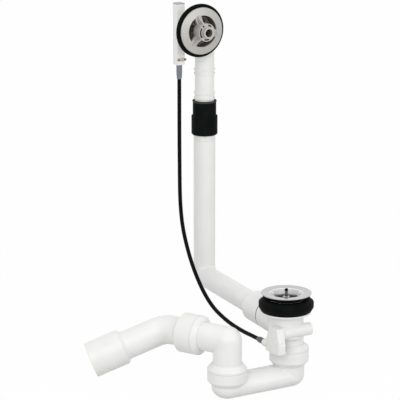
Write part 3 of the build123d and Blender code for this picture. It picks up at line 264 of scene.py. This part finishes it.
def tint(tree, value, dark, light):
    """A colour that a pattern takes from dark to light."""
    ramp = tree.nodes.new("ShaderNodeValToRGB")
    ramp.color_ramp.elements[0].position = PATTERN_LOW
    ramp.color_ramp.elements[1].position = PATTERN_HIGH
    ramp.color_ramp.elements[0].color = dark
    ramp.color_ramp.elements[1].color = light
    tree.links.new(value, ramp.inputs[0])
    return ramp.outputs[0]


def blend(tree, share, first, second):
    """The first colour, going over to the second by a share."""
    mixed = put(tree, "ShaderNodeMix", {"data_type": "RGBA"}, {0: share, 6: first, 7: second})
    return mixed.node.outputs[2]


def maths(tree, operation, first, second):
    """A sum on two values."""
    return put(tree, "ShaderNodeMath", {"operation": operation}, {0: first, 1: second})


def total(tree, first, second, share):
    """One relief plus a share of another."""
    return maths(tree, "ADD", first, maths(tree, "MULTIPLY", second, share))


def relief(tree, height, strength, depth):
    """A surface normal that follows a relief."""
    return put(tree, "ShaderNodeBump", {}, {"Height": height, "Strength": strength, "Distance": depth})


def plane_line(tree, place, facing, offset, half_width):
    """1 on the plane that faces a direction at an offset, fading to 0 at half a width from it."""
    along = put(tree, "ShaderNodeVectorMath", {"operation": "DOT_PRODUCT"}, {0: place, 1: facing})
    along = along.node.outputs["Value"]
    off = put(tree, "ShaderNodeMath", {"operation": "ABSOLUTE"}, {0: maths(tree, "SUBTRACT", along, offset)})
    return spread(tree, off, low=1.0, high=0.0, start=0.0, stop=half_width)


def axis_reach(tree, place, centre, across):
    """Distance from an axis: across is 1 on the two axes square to it."""
    arm = put(tree, "ShaderNodeVectorMath", {"operation": "SUBTRACT"}, {0: place, 1: centre})
    arm = put(tree, "ShaderNodeVectorMath", {"operation": "MULTIPLY"}, {0: arm, 1: across})
    return put(tree, "ShaderNodeVectorMath", {"operation": "LENGTH"}, {0: arm}).node.outputs["Value"]


def rings(tree, place, centre, across, scale):
    """Fine turned rings about an axis: across is 1 on the two axes square to it."""
    reach = axis_reach(tree, place, centre, across)
    inputs = {"W": reach, "Scale": scale, "Detail": 2.0}
    return put(tree, "ShaderNodeTexNoise", {"noise_dimensions": "1D"}, inputs)


def within(tree, depth, start, reach=None, limit=0.0):
    """1 past a depth, and where a reach is given, only nearer the axis than its limit."""
    past = spread(tree, depth, low=0.0, high=1.0, start=start, stop=start + 2 * FADE)
    if reach is None:
        return past
    near = spread(tree, reach, low=1.0, high=0.0, start=limit - FADE, stop=limit)
    return maths(tree, "MULTIPLY", past, near)


def between(tree, depth, start, stop, reach, limit):
    """1 from one depth to another, nearer the axis than a limit."""
    before = spread(tree, depth, low=1.0, high=0.0, start=stop, stop=stop + 2 * FADE)
    return maths(tree, "MULTIPLY", within(tree, depth, start, reach, limit), before)


def chamber_walls(tree, place):
    """1 on the walls inside the overflow head, where painted shade goes: a wide front, then a narrower back.
    """
    reach = axis_reach(tree, place, HEAD_MIDDLE, ACROSS_HEAD)
    depth = put(tree, "ShaderNodeSeparateXYZ", {}, {0: place}).node.outputs["Y"]
    front = between(tree, depth, CHAMBER_FRONT, CHAMBER_STEP, reach, CHAMBER_RADIUS)
    back = between(tree, depth, CHAMBER_STEP - 3 * FADE, CHAMBER_FLOOR, reach, CHAMBER_BACK_RADIUS)
    return maths(tree, "MAXIMUM", front, back)


def moulded(name, base, seam=None, joint=None, gloss=0.36, inner_shade=None):
    """Moulded plastic: flow clouds, grain, a parting ridge, a shaded joint and painted shade on the walls
    inside the overflow head.
    """
    finish, tree, shader, place = start_finish(name)
    sizes = settings().fitting
    flow = cloud(tree, place, scale=26.0, detail=3.0)
    grain = cloud(tree, place, scale=1900.0)
    swell = cloud(tree, place, scale=120.0)
    height = total(tree, grain, swell, share=1.6)
    colours = tint(tree, flow, rgba(base, 0.965), rgba(base, 1.02))
    if seam:
        height = total(tree, height, plane_line(tree, place, *seam, sizes.seam), share=2.4)
    if joint:
        line = plane_line(tree, place, *joint, sizes.joint)
        height = total(tree, height, line, share=-4.0)
        colours = blend(tree, line, colours, rgba(base, 0.45))
    # painted shade on the walls inside the overflow head
    if inner_shade:
        colours = blend(tree, chamber_walls(tree, place), colours, rgba(inner_shade))
    tree.links.new(colours, shader["Base Color"])
    tree.links.new(spread(tree, swell, low=gloss - 0.05, high=gloss + 0.08), shader["Roughness"])
    tree.links.new(relief(tree, height, strength=0.22, depth=0.06 * MM), shader["Normal"])
    return finish


def extruded(name, base, joint):
    """Extruded pipe: long faint die lines down its length, a slightly glossier skin and a shaded joint."""
    finish, tree, shader, place = start_finish(name)
    flow = cloud(tree, place, scale=20.0, detail=3.0)
    lines = cloud(tree, stretched(tree, place, (1.0, 1.0, 0.02)), scale=900.0)
    line = plane_line(tree, place, *joint, settings().fitting.bell_joint)
    colours = tint(tree, flow, rgba(base, 0.97), rgba(base, 1.02))
    tree.links.new(blend(tree, line, colours, rgba(base, 0.2)), shader["Base Color"])
    tree.links.new(spread(tree, lines, low=0.28, high=0.4), shader["Roughness"])
    tree.links.new(relief(tree, lines, strength=0.16, depth=0.06 * MM), shader["Normal"])
    return finish


def plated(name, base, throat_light, cup):
    """Satin chrome about Z: turned rings under the plating, cloudy handling marks and painted reflected
    light inside the cup: a brighter, hardly metallic colour above the spider's arms.
    """
    finish, tree, shader, place = start_finish(name)
    marks = cloud(tree, place, scale=60.0, detail=4.0)
    turning = rings(tree, place, WASTE_MIDDLE, ACROSS_WASTE, scale=2600.0)
    reach = axis_reach(tree, place, WASTE_MIDDLE, ACROSS_WASTE)
    level = put(tree, "ShaderNodeSeparateXYZ", {}, {0: place}).node.outputs["Z"]
    above = spread(tree, level, low=0.0, high=1.0, start=SPIDER_TOP, stop=SPIDER_TOP + CUP_FADE)
    outside_hub = spread(tree, reach, low=0.0, high=1.0, start=HUB_EDGE, stop=HUB_EDGE + CUP_EDGE)
    # painted reflected light inside the cup: less metal and a near-white colour
    inside = spread(tree, reach, low=1.0, high=0.0, start=cup, stop=cup + CUP_EDGE)
    for share in (above, outside_hub):
        inside = maths(tree, "MULTIPLY", inside, share)
    satin = tint(tree, marks, rgba(base, 0.97), rgba(base, 1.03))
    tree.links.new(spread(tree, inside, low=1.0, high=0.15, start=0.0, stop=1.0), shader["Metallic"])
    tree.links.new(blend(tree, inside, satin, rgba(throat_light)), shader["Base Color"])
    gloss = spread(tree, total(tree, turning, marks, share=0.6), low=0.24, high=0.34, start=0.5, stop=1.1)
    tree.links.new(gloss, shader["Roughness"])
    tree.links.new(relief(tree, turning, strength=0.05, depth=0.03 * MM), shader["Normal"])
    return finish


def painted_face(name, paint, core):
    """Satin silver paint with fine turned rings on the front, and dark unpainted plastic inside and behind,
    darkened further as painted shade.
    """
    finish, tree, shader, place = start_finish(name)
    marks = cloud(tree, place, scale=45.0, detail=3.0)
    turning = rings(tree, place, HEAD_MIDDLE, ACROSS_HEAD, scale=1500.0)
    reach = axis_reach(tree, place, HEAD_MIDDLE, ACROSS_HEAD)
    depth = put(tree, "ShaderNodeSeparateXYZ", {}, {0: place}).node.outputs["Y"]
    # dark unpainted plastic behind the paint and in the bores, partly painted shade
    bare_and_shaded = within(tree, depth, PAINT_BACK)
    for start, limit in BARE_AND_SHADED_BORES:
        bare_and_shaded = maths(tree, "MAXIMUM", bare_and_shaded, within(tree, depth, start * MM, reach, limit * MM))
    silver = tint(tree, total(tree, turning, marks, share=0.25), rgba(paint, 0.95), rgba(paint, 1.05))
    colours = blend(tree, bare_and_shaded, silver, rgba(core))
    shader["Metallic"].default_value = 0.3
    shader["Specular IOR Level"].default_value = 0.3
    tree.links.new(colours, shader["Base Color"])
    gloss = spread(tree, total(tree, turning, bare_and_shaded, share=0.5), low=0.34, high=0.62, start=0.4, stop=1.1)
    tree.links.new(gloss, shader["Roughness"])
    tree.links.new(relief(tree, turning, strength=0.16, depth=0.05 * MM), shader["Normal"])
    return finish


def rubbery(name, base, gloss=0.55, scale=700.0, shine=0.03):
    """Black rubber or soft plastic: matt, with a faint bloom and a fine pitted skin."""
    finish, tree, shader, place = start_finish(name)
    bloom = cloud(tree, place, scale=55.0, detail=4.0)
    pits = cloud(tree, place, scale, detail=3.0)
    shader["Specular IOR Level"].default_value = shine
    tree.links.new(tint(tree, bloom, rgba(base, 0.75), rgba(base, 1.5)), shader["Base Color"])
    tree.links.new(spread(tree, bloom, low=gloss - 0.08, high=gloss + 0.14), shader["Roughness"])
    tree.links.new(relief(tree, pits, strength=0.25, depth=0.08 * MM), shader["Normal"])
    return finish


def metal(name, base, gloss, grain):
    """Bare metal with slight tarnish and drawn lines along the axis on which its grain is near 0."""
    finish, tree, shader, place = start_finish(name)
    tarnish = cloud(tree, place, scale=170.0, detail=4.0)
    lines = cloud(tree, stretched(tree, place, grain), scale=1200.0)
    shader["Metallic"].default_value = 1.0
    tree.links.new(tint(tree, tarnish, rgba(base, 0.86), rgba(base, 1.06)), shader["Base Color"])
    tree.links.new(spread(tree, lines, low=gloss - 0.06, high=gloss + 0.1), shader["Roughness"])
    tree.links.new(relief(tree, lines, strength=0.12, depth=0.04 * MM), shader["Normal"])
    return finish


def dress(name, finish):
    """Give a part of the frame its finish."""
    node = nodes[name]
    node.data.materials.clear()
    node.data.materials.append(finish)


# Modelling


def clear_selection():
    """Leave edit mode and let go of everything."""
    if bpy.context.mode != "OBJECT":
        bpy.ops.object.mode_set(mode="OBJECT")
    bpy.ops.object.select_all(action="DESELECT")


def open_piece(name):
    """Name the primitive just added, put its size and place in its mesh, and open it."""
    piece = bpy.context.active_object
    piece.name = name
    piece.data.name = name
    bpy.ops.object.transform_apply(location=True, rotation=True, scale=True)
    bpy.ops.object.mode_set(mode="EDIT")
    bpy.ops.mesh.select_all(action="DESELECT")
    return piece


def pick(piece, kind, test):
    """Select the faces whose middle and normal, or the edges whose middle and direction, pass a test."""
    bpy.ops.mesh.select_mode(type="FACE" if kind == "faces" else "EDGE")
    bpy.ops.mesh.select_all(action="DESELECT")
    mesh = bmesh.from_edit_mesh(piece.data)
    if kind == "faces":
        mesh.normal_update()
        for face in mesh.faces:
            face.select_set(test(face.calc_center_median(), face.normal))
    else:
        for edge in mesh.edges:
            first, last = (vertex.co for vertex in edge.verts)
            edge.select_set(test((first + last) / 2, (last - first).normalized()))
    bmesh.update_edit_mesh(piece.data)


def apply_modifier(piece, name, kind, values):
    """Add a modifier to a piece and apply it."""
    modifier = piece.modifiers.new(name, kind)
    for option, value in values.items():
        setattr(modifier, option, value)
    bpy.context.view_layer.objects.active = piece
    bpy.ops.object.modifier_apply(modifier=modifier.name)


def copy_piece(piece, name, move):
    """Copy a piece with a mesh of its own, and put the copy's place in that mesh."""
    clear_selection()
    piece.select_set(True)
    bpy.context.view_layer.objects.active = piece
    bpy.ops.object.duplicate(linked=False)
    copy = bpy.context.active_object
    copy.name = name
    copy.data.name = name
    copy.matrix_world = move
    bpy.ops.object.transform_apply(location=True, rotation=True, scale=True)
    return copy


def close_piece(piece, finish, body="fixed"):
    """Close a piece, smooth it, and give it its finish and the body that it moves with."""
    clear_selection()
    piece.select_set(True)
    bpy.context.view_layer.objects.active = piece
    bpy.ops.object.shade_smooth_by_angle(angle=SMOOTH_ANGLE)
    piece.data.materials.clear()
    piece.data.materials.append(finish)
    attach(piece, body)


# Stage


class BATH_WASTE_OT_stage(bpy.types.Operator):
    """Floor, camera, lamps and world"""

    bl_idname = "bath_waste.stage"
    bl_label = "Stage"

    floor_width = 14.0  # metres
    sensor = 36.0  # of the camera, in millimetres
    # each lamp's width and its place from the middle of the view, in metres
    lamps = {
        "key": (1.4, (-1.5, -1.2, 0.95)),
        "fill": (1.2, (0.6, -1.9, 0.6)),
        "top": (1.6, (-0.1, 0.2, 1.9)),
    }

    def execute(self, context):
        values = settings().stage
        context.scene.view_settings.view_transform = "Standard"
        self.lay_floor(values)
        self.set_camera(context, values)
        for name, (width, away) in self.lamps.items():
            self.hang_lamp(name, getattr(values, name), width, Vector(values.middle), Vector(away))
        self.light_sky(context, values)
        return {"FINISHED"}

    def backdrop_rays(self, tree):
        """1 for the rays that show a backdrop: those of the camera, of gloss and of clear plastic."""
        path = tree.nodes.new("ShaderNodeLightPath").outputs
        seen = maths(tree, "MAXIMUM", path["Is Camera Ray"], path["Is Glossy Ray"])
        return maths(tree, "MAXIMUM", seen, path["Is Transmission Ray"])

    def lay_floor(self, values):
        clear_selection()
        level = cad_low[2] - values.floor_gap
        bpy.ops.mesh.primitive_plane_add(size=self.floor_width, location=(0, 0, level))
        floor = bpy.context.active_object
        floor.name = "floor"
        bpy.ops.object.transform_apply(location=True, rotation=True, scale=True)
        finish = bpy.data.materials.new("pale_floor")
        finish.use_nodes = True
        tree = finish.node_tree
        tree.nodes.clear()
        matt = put(tree, "ShaderNodeBsdfDiffuse", {}, {"Color": rgba(values.floor)})
        white = put(tree, "ShaderNodeEmission", {}, {"Color": (1, 1, 1, 1), "Strength": 1.0})
        share = maths(tree, "MULTIPLY", self.backdrop_rays(tree), values.backdrop)
        mixed = put(tree, "ShaderNodeMixShader", {}, {0: share, 1: matt, 2: white})
        output = tree.nodes.new("ShaderNodeOutputMaterial")
        tree.links.new(mixed, output.inputs["Surface"])
        floor.data.materials.append(finish)

    def set_camera(self, context, values):
        clear_selection()
        turn, rise = values.azimuth, values.elevation
        back = Vector((sin(turn) * cos(rise), -cos(turn) * cos(rise), sin(rise)))
        bpy.ops.object.camera_add(location=Vector(values.middle) + back * values.distance)
        camera = context.active_object
        camera.name = "camera"
        camera.rotation_euler = back.to_track_quat("Z", "Y").to_euler()
        camera.data.sensor_width = self.sensor
        camera.data.lens = values.lens
        context.scene.camera = camera

    def hang_lamp(self, name, power, width, middle, away):
        """A square lamp that faces the middle. The one on top stays out of the plating's reflections."""
        clear_selection()
        bpy.ops.object.light_add(type="AREA", location=middle + away)
        lamp = bpy.context.active_object
        lamp.name = name + "_lamp"
        lamp.rotation_euler = away.to_track_quat("Z", "Y").to_euler()
        lamp.data.energy = power
        lamp.data.size = width
        lamp.visible_glossy = name != "top"

    def light_sky(self, context, values):
        world = bpy.data.worlds.new("studio")
        world.use_nodes = True
        tree = world.node_tree
        tree.nodes.clear()
        soft = put(tree, "ShaderNodeBackground", {}, {"Color": (1, 1, 1, 1), "Strength": values.sky})
        white = put(tree, "ShaderNodeBackground", {}, {"Color": (1, 1, 1, 1), "Strength": 1.0})
        mixed = put(tree, "ShaderNodeMixShader", {}, {0: self.backdrop_rays(tree), 1: soft, 2: white})
        output = tree.nodes.new("ShaderNodeOutputWorld")
        tree.links.new(mixed, output.inputs["Surface"])
        context.scene.world = world


# Pieces


class BATH_WASTE_OT_cable(bpy.types.Operator):
    """Black sheath of the control cable, from the rack housing down to the lever box"""

    bl_idname = "bath_waste.cable"
    bl_label = "Control cable"

    route = (
        (-20.0, 261.0, 268.1),
        (-20.0, 261.0, 236.0),
        (-21.7, 258.2, 190.0),
        (-23.4, 254.8, 132.0),
        (-24.9, 251.0, 75.9),
        (-25.9, 239.0, 33.7),
        (-26.7, 207.4, -14.4),
        (-27.3, 162.9, -50.9),
        (-28.0, 114.0, -63.4),
        (-28.5, 70.2, -66.3),
        (-28.7, 42.0, -65.5),
        (-28.7, 20.0, -65.5),
    )

    def execute(self, context):
        values = settings()
        clear_selection()
        line = bpy.data.curves.new("cable_sheath", "CURVE")
        line.dimensions = "3D"
        spline = line.splines.new("NURBS")
        spline.points.add(len(self.route) - 1)
        for point, place in zip(spline.points, self.route):
            point.co = (*(part * MM for part in place), 1.0)
        spline.order_u = 3
        spline.use_endpoint_u = True
        spline.resolution_u = 24
        line.resolution_u = 24
        line.bevel_depth = values.cable.diameter / 2
        line.bevel_resolution = 8
        line.use_fill_caps = True
        sheath = bpy.data.objects.new("cable_sheath", line)
        context.collection.objects.link(sheath)
        line.materials.append(rubbery("black_sheath", values.finish.sheath, 0.45, 1500.0, 0.04))
        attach(sheath, "fixed")
        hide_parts("bowden_cable")
        return {"FINISHED"}


class BATH_WASTE_OT_hairpin_clip(bpy.types.Operator):
    """Hairpin clip that holds the upper ferrule in the rack housing, with a near-black pin in each eye as
    painted shade
    """

    bl_idname = "bath_waste.hairpin_clip"
    bl_label = "Hairpin clip"

    end_share = 0.49  # of the clip's length, past which an edge is at its end
    corner_share = 0.38  # of the strip's width that each end corner rounds off
    soft_edge = 0.15 * MM
    pin_fit = 0.98  # a pin's radius over its eye's
    pin_depth = 0.7  # a pin's length over the strip's thickness
    dish_rim = 0.3  # rim of a pin's head over the eye's radius
    dish_depth = 0.15  # hollow of a pin's head over the strip's thickness

    def execute(self, context):
        values = settings()
        sizes = values.fitting
        low, high = (Vector(corner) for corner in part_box("cable_clip"))
        middle = Vector(((low.x + high.x) / 2, low.y + sizes.clip_strip / 2, (low.z + high.z) / 2))
        inner = sizes.clip_gap / 2
        outer = inner + sizes.clip_strip
        clear_selection()
        bpy.ops.mesh.primitive_cube_add(size=1.0, location=middle)
        context.active_object.scale = (sizes.clip_span, sizes.clip_strip, sizes.clip_height)
        clip = open_piece("hairpin_clip")
        for edge in (-outer, -inner, inner, outer):
            bpy.ops.mesh.select_all(action="SELECT")
            bpy.ops.mesh.bisect(plane_co=(middle.x + edge, 0, 0), plane_no=(1, 0, 0))
        pick(clip, "faces", lambda at, facing: facing.y > SQUARELY and inner < abs(at.x - middle.x) < outer)
        bpy.ops.mesh.extrude_region_move(
            TRANSFORM_OT_translate={"value": (0, high.y - low.y - sizes.clip_strip, 0)}
        )
        end = sizes.clip_span * self.end_share
        pick(clip, "edges", lambda at, along: abs(along.y) > SQUARELY and abs(at.x - middle.x) > end)
        bpy.ops.mesh.bevel(offset=sizes.clip_height * self.corner_share, segments=6, affect="EDGES")
        clear_selection()
        eye_out = sizes.clip_span / 2 - 2 * sizes.clip_eye
        for side in (-1, 1):
            self.cut_eye(clip, middle + Vector((side * eye_out, 0, 0)), sizes)
        apply_modifier(
            clip, "soft_edges", "BEVEL",
            {"width": self.soft_edge, "segments": 2, "limit_method": "ANGLE", "angle_limit": radians(40)},
        )
        close_piece(clip, metal("clip_plate", values.finish.clip, 0.36, (0.05, 1.0, 1.0)))
        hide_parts("cable_clip")
        # near-black pins in the eyes: painted shade
        dark = metal("burnished_pin", values.finish.pin, 0.4, (1.0, 0.1, 1.0))
        left = self.make_eye_shade_pin(middle - Vector((eye_out, 0, 0)), sizes)
        right = copy_piece(left, "clip_pin_right", Matrix.Translation((2 * eye_out, 0, 0)))
        close_piece(left, dark)
        close_piece(right, dark)
        return {"FINISHED"}

    def cut_eye(self, clip, at, sizes):
        clear_selection()
        bpy.ops.mesh.primitive_cylinder_add(
            vertices=24, radius=sizes.clip_eye, depth=4 * sizes.clip_strip, location=at,
            rotation=(radians(90), 0, 0),
        )
        drill = bpy.context.active_object
        cut = {"operation": "DIFFERENCE", "object": drill, "solver": "EXACT"}
        apply_modifier(clip, "eye", "BOOLEAN", cut)
        bpy.data.objects.remove(drill, do_unlink=True)

    def make_eye_shade_pin(self, at, sizes):
        """A pin with a dished head, just inside its eye, that darkens the eye as painted shade."""
        clear_selection()
        bpy.ops.mesh.primitive_cylinder_add(
            vertices=24, radius=sizes.clip_eye * self.pin_fit, depth=sizes.clip_strip * self.pin_depth,
            location=at, rotation=(radians(90), 0, 0),
        )
        pin = open_piece("clip_pin_left")
        pick(pin, "faces", lambda middle, facing: facing.y < -SQUARELY)
        bpy.ops.mesh.inset(thickness=sizes.clip_eye * self.dish_rim)
        hollow = sizes.clip_strip * self.dish_depth
        bpy.ops.mesh.extrude_region_move(TRANSFORM_OT_translate={"value": (0, hollow, 0)})
        clear_selection()
        return pin


class BATH_WASTE_OT_snap_hooks(bpy.types.Operator):
    """Three snap hooks that hold the lever cover on its box"""

    bl_idname = "bath_waste.snap_hooks"
    bl_label = "Snap hooks"

    barb_start = 0.72  # along the hook, as a share of its reach
    barb_rise = 0.5  # over the hook's thickness
    barb_taper = (0.6, 1.0, 0.85)
    soft_edge = 0.22 * MM
    inset = 0.7 * MM  # of each hook from the outside of the cover
    # each hook's edge point on the cover's outline in millimetres, and the Y and Z of the way it faces
    seats = (
        ("snap_hook_front", (-33.02, -53.72), (-0.9755, 0.2202)),
        ("snap_hook_rear", (-5.39, -47.38), (0.9229, 0.385)),
        ("snap_hook_foot", (-17.5, -73.5), (0.0, -1.0)),
    )

    def execute(self, context):
        values = settings()
        sizes = values.fitting
        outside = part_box("lever_box_cover")[0][0]
        barb = sizes.hook_reach * self.barb_start
        clear_selection()
        bpy.ops.mesh.primitive_cube_add(size=1.0, location=(sizes.hook_reach / 2, sizes.hook_strip / 2, 0))
        context.active_object.scale = (sizes.hook_reach, sizes.hook_strip, sizes.hook_width)
        hook = open_piece("snap_hook")
        bpy.ops.mesh.select_all(action="SELECT")
        bpy.ops.mesh.bisect(plane_co=(barb, 0, 0), plane_no=(1, 0, 0))
        pick(hook, "faces", lambda at, facing: facing.y > SQUARELY and at.x > barb)
        rise = sizes.hook_strip * self.barb_rise
        bpy.ops.mesh.extrude_region_move(TRANSFORM_OT_translate={"value": (0, rise, 0)})
        bpy.ops.transform.resize(value=self.barb_taper)
        clear_selection()
        apply_modifier(
            hook, "soft_edges", "BEVEL",
            {"width": self.soft_edge, "segments": 2, "limit_method": "ANGLE", "angle_limit": radians(30)},
        )
        finish = moulded("hook_white", values.finish.moulding)
        for name, seat, facing in self.seats:
            turn = Matrix.Rotation(atan2(facing[1], facing[0]), 4, "X")
            place = Matrix.Translation((outside + self.inset, seat[0] * MM, seat[1] * MM))
            close_piece(copy_piece(hook, name, place @ turn), finish)
        bpy.data.objects.remove(hook, do_unlink=True)
        return {"FINISHED"}


class BATH_WASTE_OT_sleeve_lip(bpy.types.Operator):
    """Bead round the top of the rubber sleeve on the overflow neck"""

    bl_idname = "bath_waste.sleeve_lip"
    bl_label = "Sleeve lip"

    round_share = 0.7  # of how far the bead stands out, rounded off at its edges

    def execute(self, context):
        values = settings()
        sizes = values.fitting
        low, high = (Vector(corner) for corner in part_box("rubber_sleeve"))
        middle = Vector(((low.x + high.x) / 2, (low.y + high.y) / 2, high.z - sizes.lip_height / 2))
        clear_selection()
        bpy.ops.mesh.primitive_cylinder_add(
            vertices=96, radius=sizes.sleeve_neck + sizes.lip_proud, depth=sizes.lip_height,
            end_fill_type="NOTHING", location=middle,
        )
        lip = open_piece("sleeve_lip")
        clear_selection()
        apply_modifier(lip, "wall", "SOLIDIFY", {"thickness": sizes.lip_proud * 2, "offset": -1.0})
        apply_modifier(
            lip, "soft_edges", "BEVEL",
            {
                "width": sizes.lip_proud * self.round_share, "segments": 4,
                "limit_method": "ANGLE", "angle_limit": radians(40),
            },
        )
        close_piece(lip, bpy.data.materials["black_rubber"])
        return {"FINISHED"}


# Finishes of the frame's parts


class BATH_WASTE_OT_mouldings(bpy.types.Operator):
    """White mouldings of the waste, overflow and trap, each with its parting line"""

    bl_idname = "bath_waste.mouldings"
    bl_label = "White mouldings"

    # each moulding's parting plane: the way it faces, and its distance from the origin that way in metres
    parting = {
        "waste_body": ((0.9963, -0.0855, 0.0), 0.0),
        "overflow_body": ((0.0, 1.0, 0.0), 0.261),
        "trap_u_bend": ((0.0, 1.0, 0.0), 0.0),
        "trap_elbow": ((0.8862, 0.4633, 0.0), -0.0842),
        "outlet_bend": ((-0.4658, -0.2435, 0.8507), 0.00195),
    }
    # the plane where each socket's ring, or the branch's shoulder, meets its pipe, in the same way
    joints = {
        "waste_body": (BRANCH, 0.0485),
        "inlet_socket_ring": ((0.0, 0.0, 1.0), -0.0775),
        "riser_socket_ring": ((0.0, 0.0, 1.0), -0.0916),
        "arm_socket_ring": ((-0.4633, 0.8862, 0.0), 0.0895),
    }

    def execute(self, context):
        finishes = settings().finish
        base = finishes.moulding
        for name, seam in self.parting.items():
            # only the overflow body gets the painted shade on the walls inside its head
            inner_shade = finishes.chamber_shade if name == "overflow_body" else None
            dress(name, moulded(name + "_white", base, seam, self.joints.get(name), inner_shade=inner_shade))
        for name in ("inlet_socket_ring", "riser_socket_ring", "arm_socket_ring"):
            dress(name, moulded(name + "_white", base, joint=self.joints[name]))
        dress("lever_box_cover", moulded("cover_white", base))
        return {"FINISHED"}


class BATH_WASTE_OT_pipe(bpy.types.Operator):
    """White extruded pipe from the overflow down to the waste"""

    bl_idname = "bath_waste.pipe"
    bl_label = "Overflow pipe"

    mouth = 0.0494  # of its bell, along the branch from the waste's axis

    def execute(self, context):
        dress("overflow_pipe", extruded("pipe_white", settings().finish.pipe, (BRANCH, self.mouth)))
        return {"FINISHED"}


class BATH_WASTE_OT_visible_trim(bpy.types.Operator):
    """Satin chrome waste flange and satin grey overflow face"""

    bl_idname = "bath_waste.visible_trim"
    bl_label = "Flange and face"

    def execute(self, context):
        base = settings().finish
        # the flange's cup carries painted reflected light
        dress("waste_flange", plated("satin_chrome", base.plate, base.throat_light, CUP_RADIUS))
        # the face ring's dark inside is partly painted shade
        dress("overflow_face_ring", painted_face("painted_face", base.face, base.core))
        return {"FINISHED"}


class BATH_WASTE_OT_rubber(bpy.types.Operator):
    """Black rubber of the seals, gasket, sleeve and pin tip"""

    bl_idname = "bath_waste.rubber"
    bl_label = "Rubber"

    names = (
        "flange_gasket", "lower_seal", "pin_tip", "shaft_o_rings", "overflow_seal", "rubber_sleeve",
        "branch_lip_seal", "inlet_lip_seal", "riser_lip_seal", "arm_lip_seal",
    )

    def execute(self, context):
        finish = rubbery("black_rubber", settings().finish.rubber)
        for name in self.names:
            dress(name, finish)
        return {"FINISHED"}


class BATH_WASTE_OT_works(bpy.types.Operator):
    """Grey acetal of the rack, spindle, crank, lift arm and housing cap, and slate ferrules"""

    bl_idname = "bath_waste.works"
    bl_label = "Works"

    def execute(self, context):
        base = settings().finish
        acetal = moulded("acetal_grey", base.works, gloss=0.34)
        for name in ("lift_arm", "crank_arm", "rack", "rack_housing_cap", "drive_spindle"):
            dress(name, acetal)
        dress("upper_ferrule", moulded("ferrule_slate", base.ferrule, gloss=0.42))
        # the lower ferrule's darker slate is painted shade
        dress("lower_ferrule", moulded("ferrule_dark_slate", base.ferrule_shade, gloss=0.42))
        return {"FINISHED"}


class BATH_WASTE_OT_bare_metal(bpy.types.Operator):
    """Steel pin and wires, brass shaft and the clip's node"""

    bl_idname = "bath_waste.bare_metal"
    bl_label = "Bare metal"

    def execute(self, context):
        base = settings().finish
        steel = metal("drawn_steel", base.steel, 0.26, (1.0, 1.0, 0.05))
        for name in ("lift_pin", "lower_wire", "upper_wire"):
            dress(name, steel)
        brass = metal("turned_brass", base.brass, 0.28, (0.05, 1.0, 1.0))
        for name in ("lever_shaft", "cable_clip"):
            dress(name, brass)
        dress("bowden_cable", bpy.data.materials["black_sheath"])
        return {"FINISHED"}


# Add-on


class BATH_WASTE_PT_sidebar(bpy.types.Panel):
    """Settings and pieces of the bath waste"""

    bl_idname = "BATH_WASTE_PT_sidebar"
    bl_label = "Bath waste"
    bl_space_type = "VIEW_3D"
    bl_region_type = "UI"
    bl_category = "Bath waste"

    def draw(self, context):
        values = context.scene.bath_waste
        for group in (values.finish, values.cable, values.fitting, values.stage):
            box = self.layout.box()
            for name in group.__annotations__:
                box.prop(group, name)
        for operator in operators:
            self.layout.operator(operator.bl_idname)


operators = (
    BATH_WASTE_OT_stage,
    BATH_WASTE_OT_cable,
    BATH_WASTE_OT_mouldings,
    BATH_WASTE_OT_pipe,
    BATH_WASTE_OT_visible_trim,
    BATH_WASTE_OT_rubber,
    BATH_WASTE_OT_works,
    BATH_WASTE_OT_bare_metal,
    BATH_WASTE_OT_hairpin_clip,
    BATH_WASTE_OT_snap_hooks,
    BATH_WASTE_OT_sleeve_lip,
)
groups = (FinishSettings, CableSettings, FittingSettings, StageSettings, BathWasteSettings)


def register():
    for kind in (*groups, *operators, BATH_WASTE_PT_sidebar):
        bpy.utils.register_class(kind)
    bpy.types.Scene.bath_waste = PointerProperty(type=BathWasteSettings)


def unregister():
    del bpy.types.Scene.bath_waste
    for kind in reversed((*groups, *operators, BATH_WASTE_PT_sidebar)):
        bpy.utils.unregister_class(kind)


def main():
    register()
    bpy.ops.bath_waste.stage()
    bpy.ops.bath_waste.cable()
    bpy.ops.bath_waste.mouldings()
    bpy.ops.bath_waste.pipe()
    bpy.ops.bath_waste.visible_trim()
    bpy.ops.bath_waste.rubber()
    bpy.ops.bath_waste.works()
    bpy.ops.bath_waste.bare_metal()
    bpy.ops.bath_waste.hairpin_clip()
    bpy.ops.bath_waste.snap_hooks()
    bpy.ops.bath_waste.sleeve_lip()


if __name__ == "__main__":
    main()
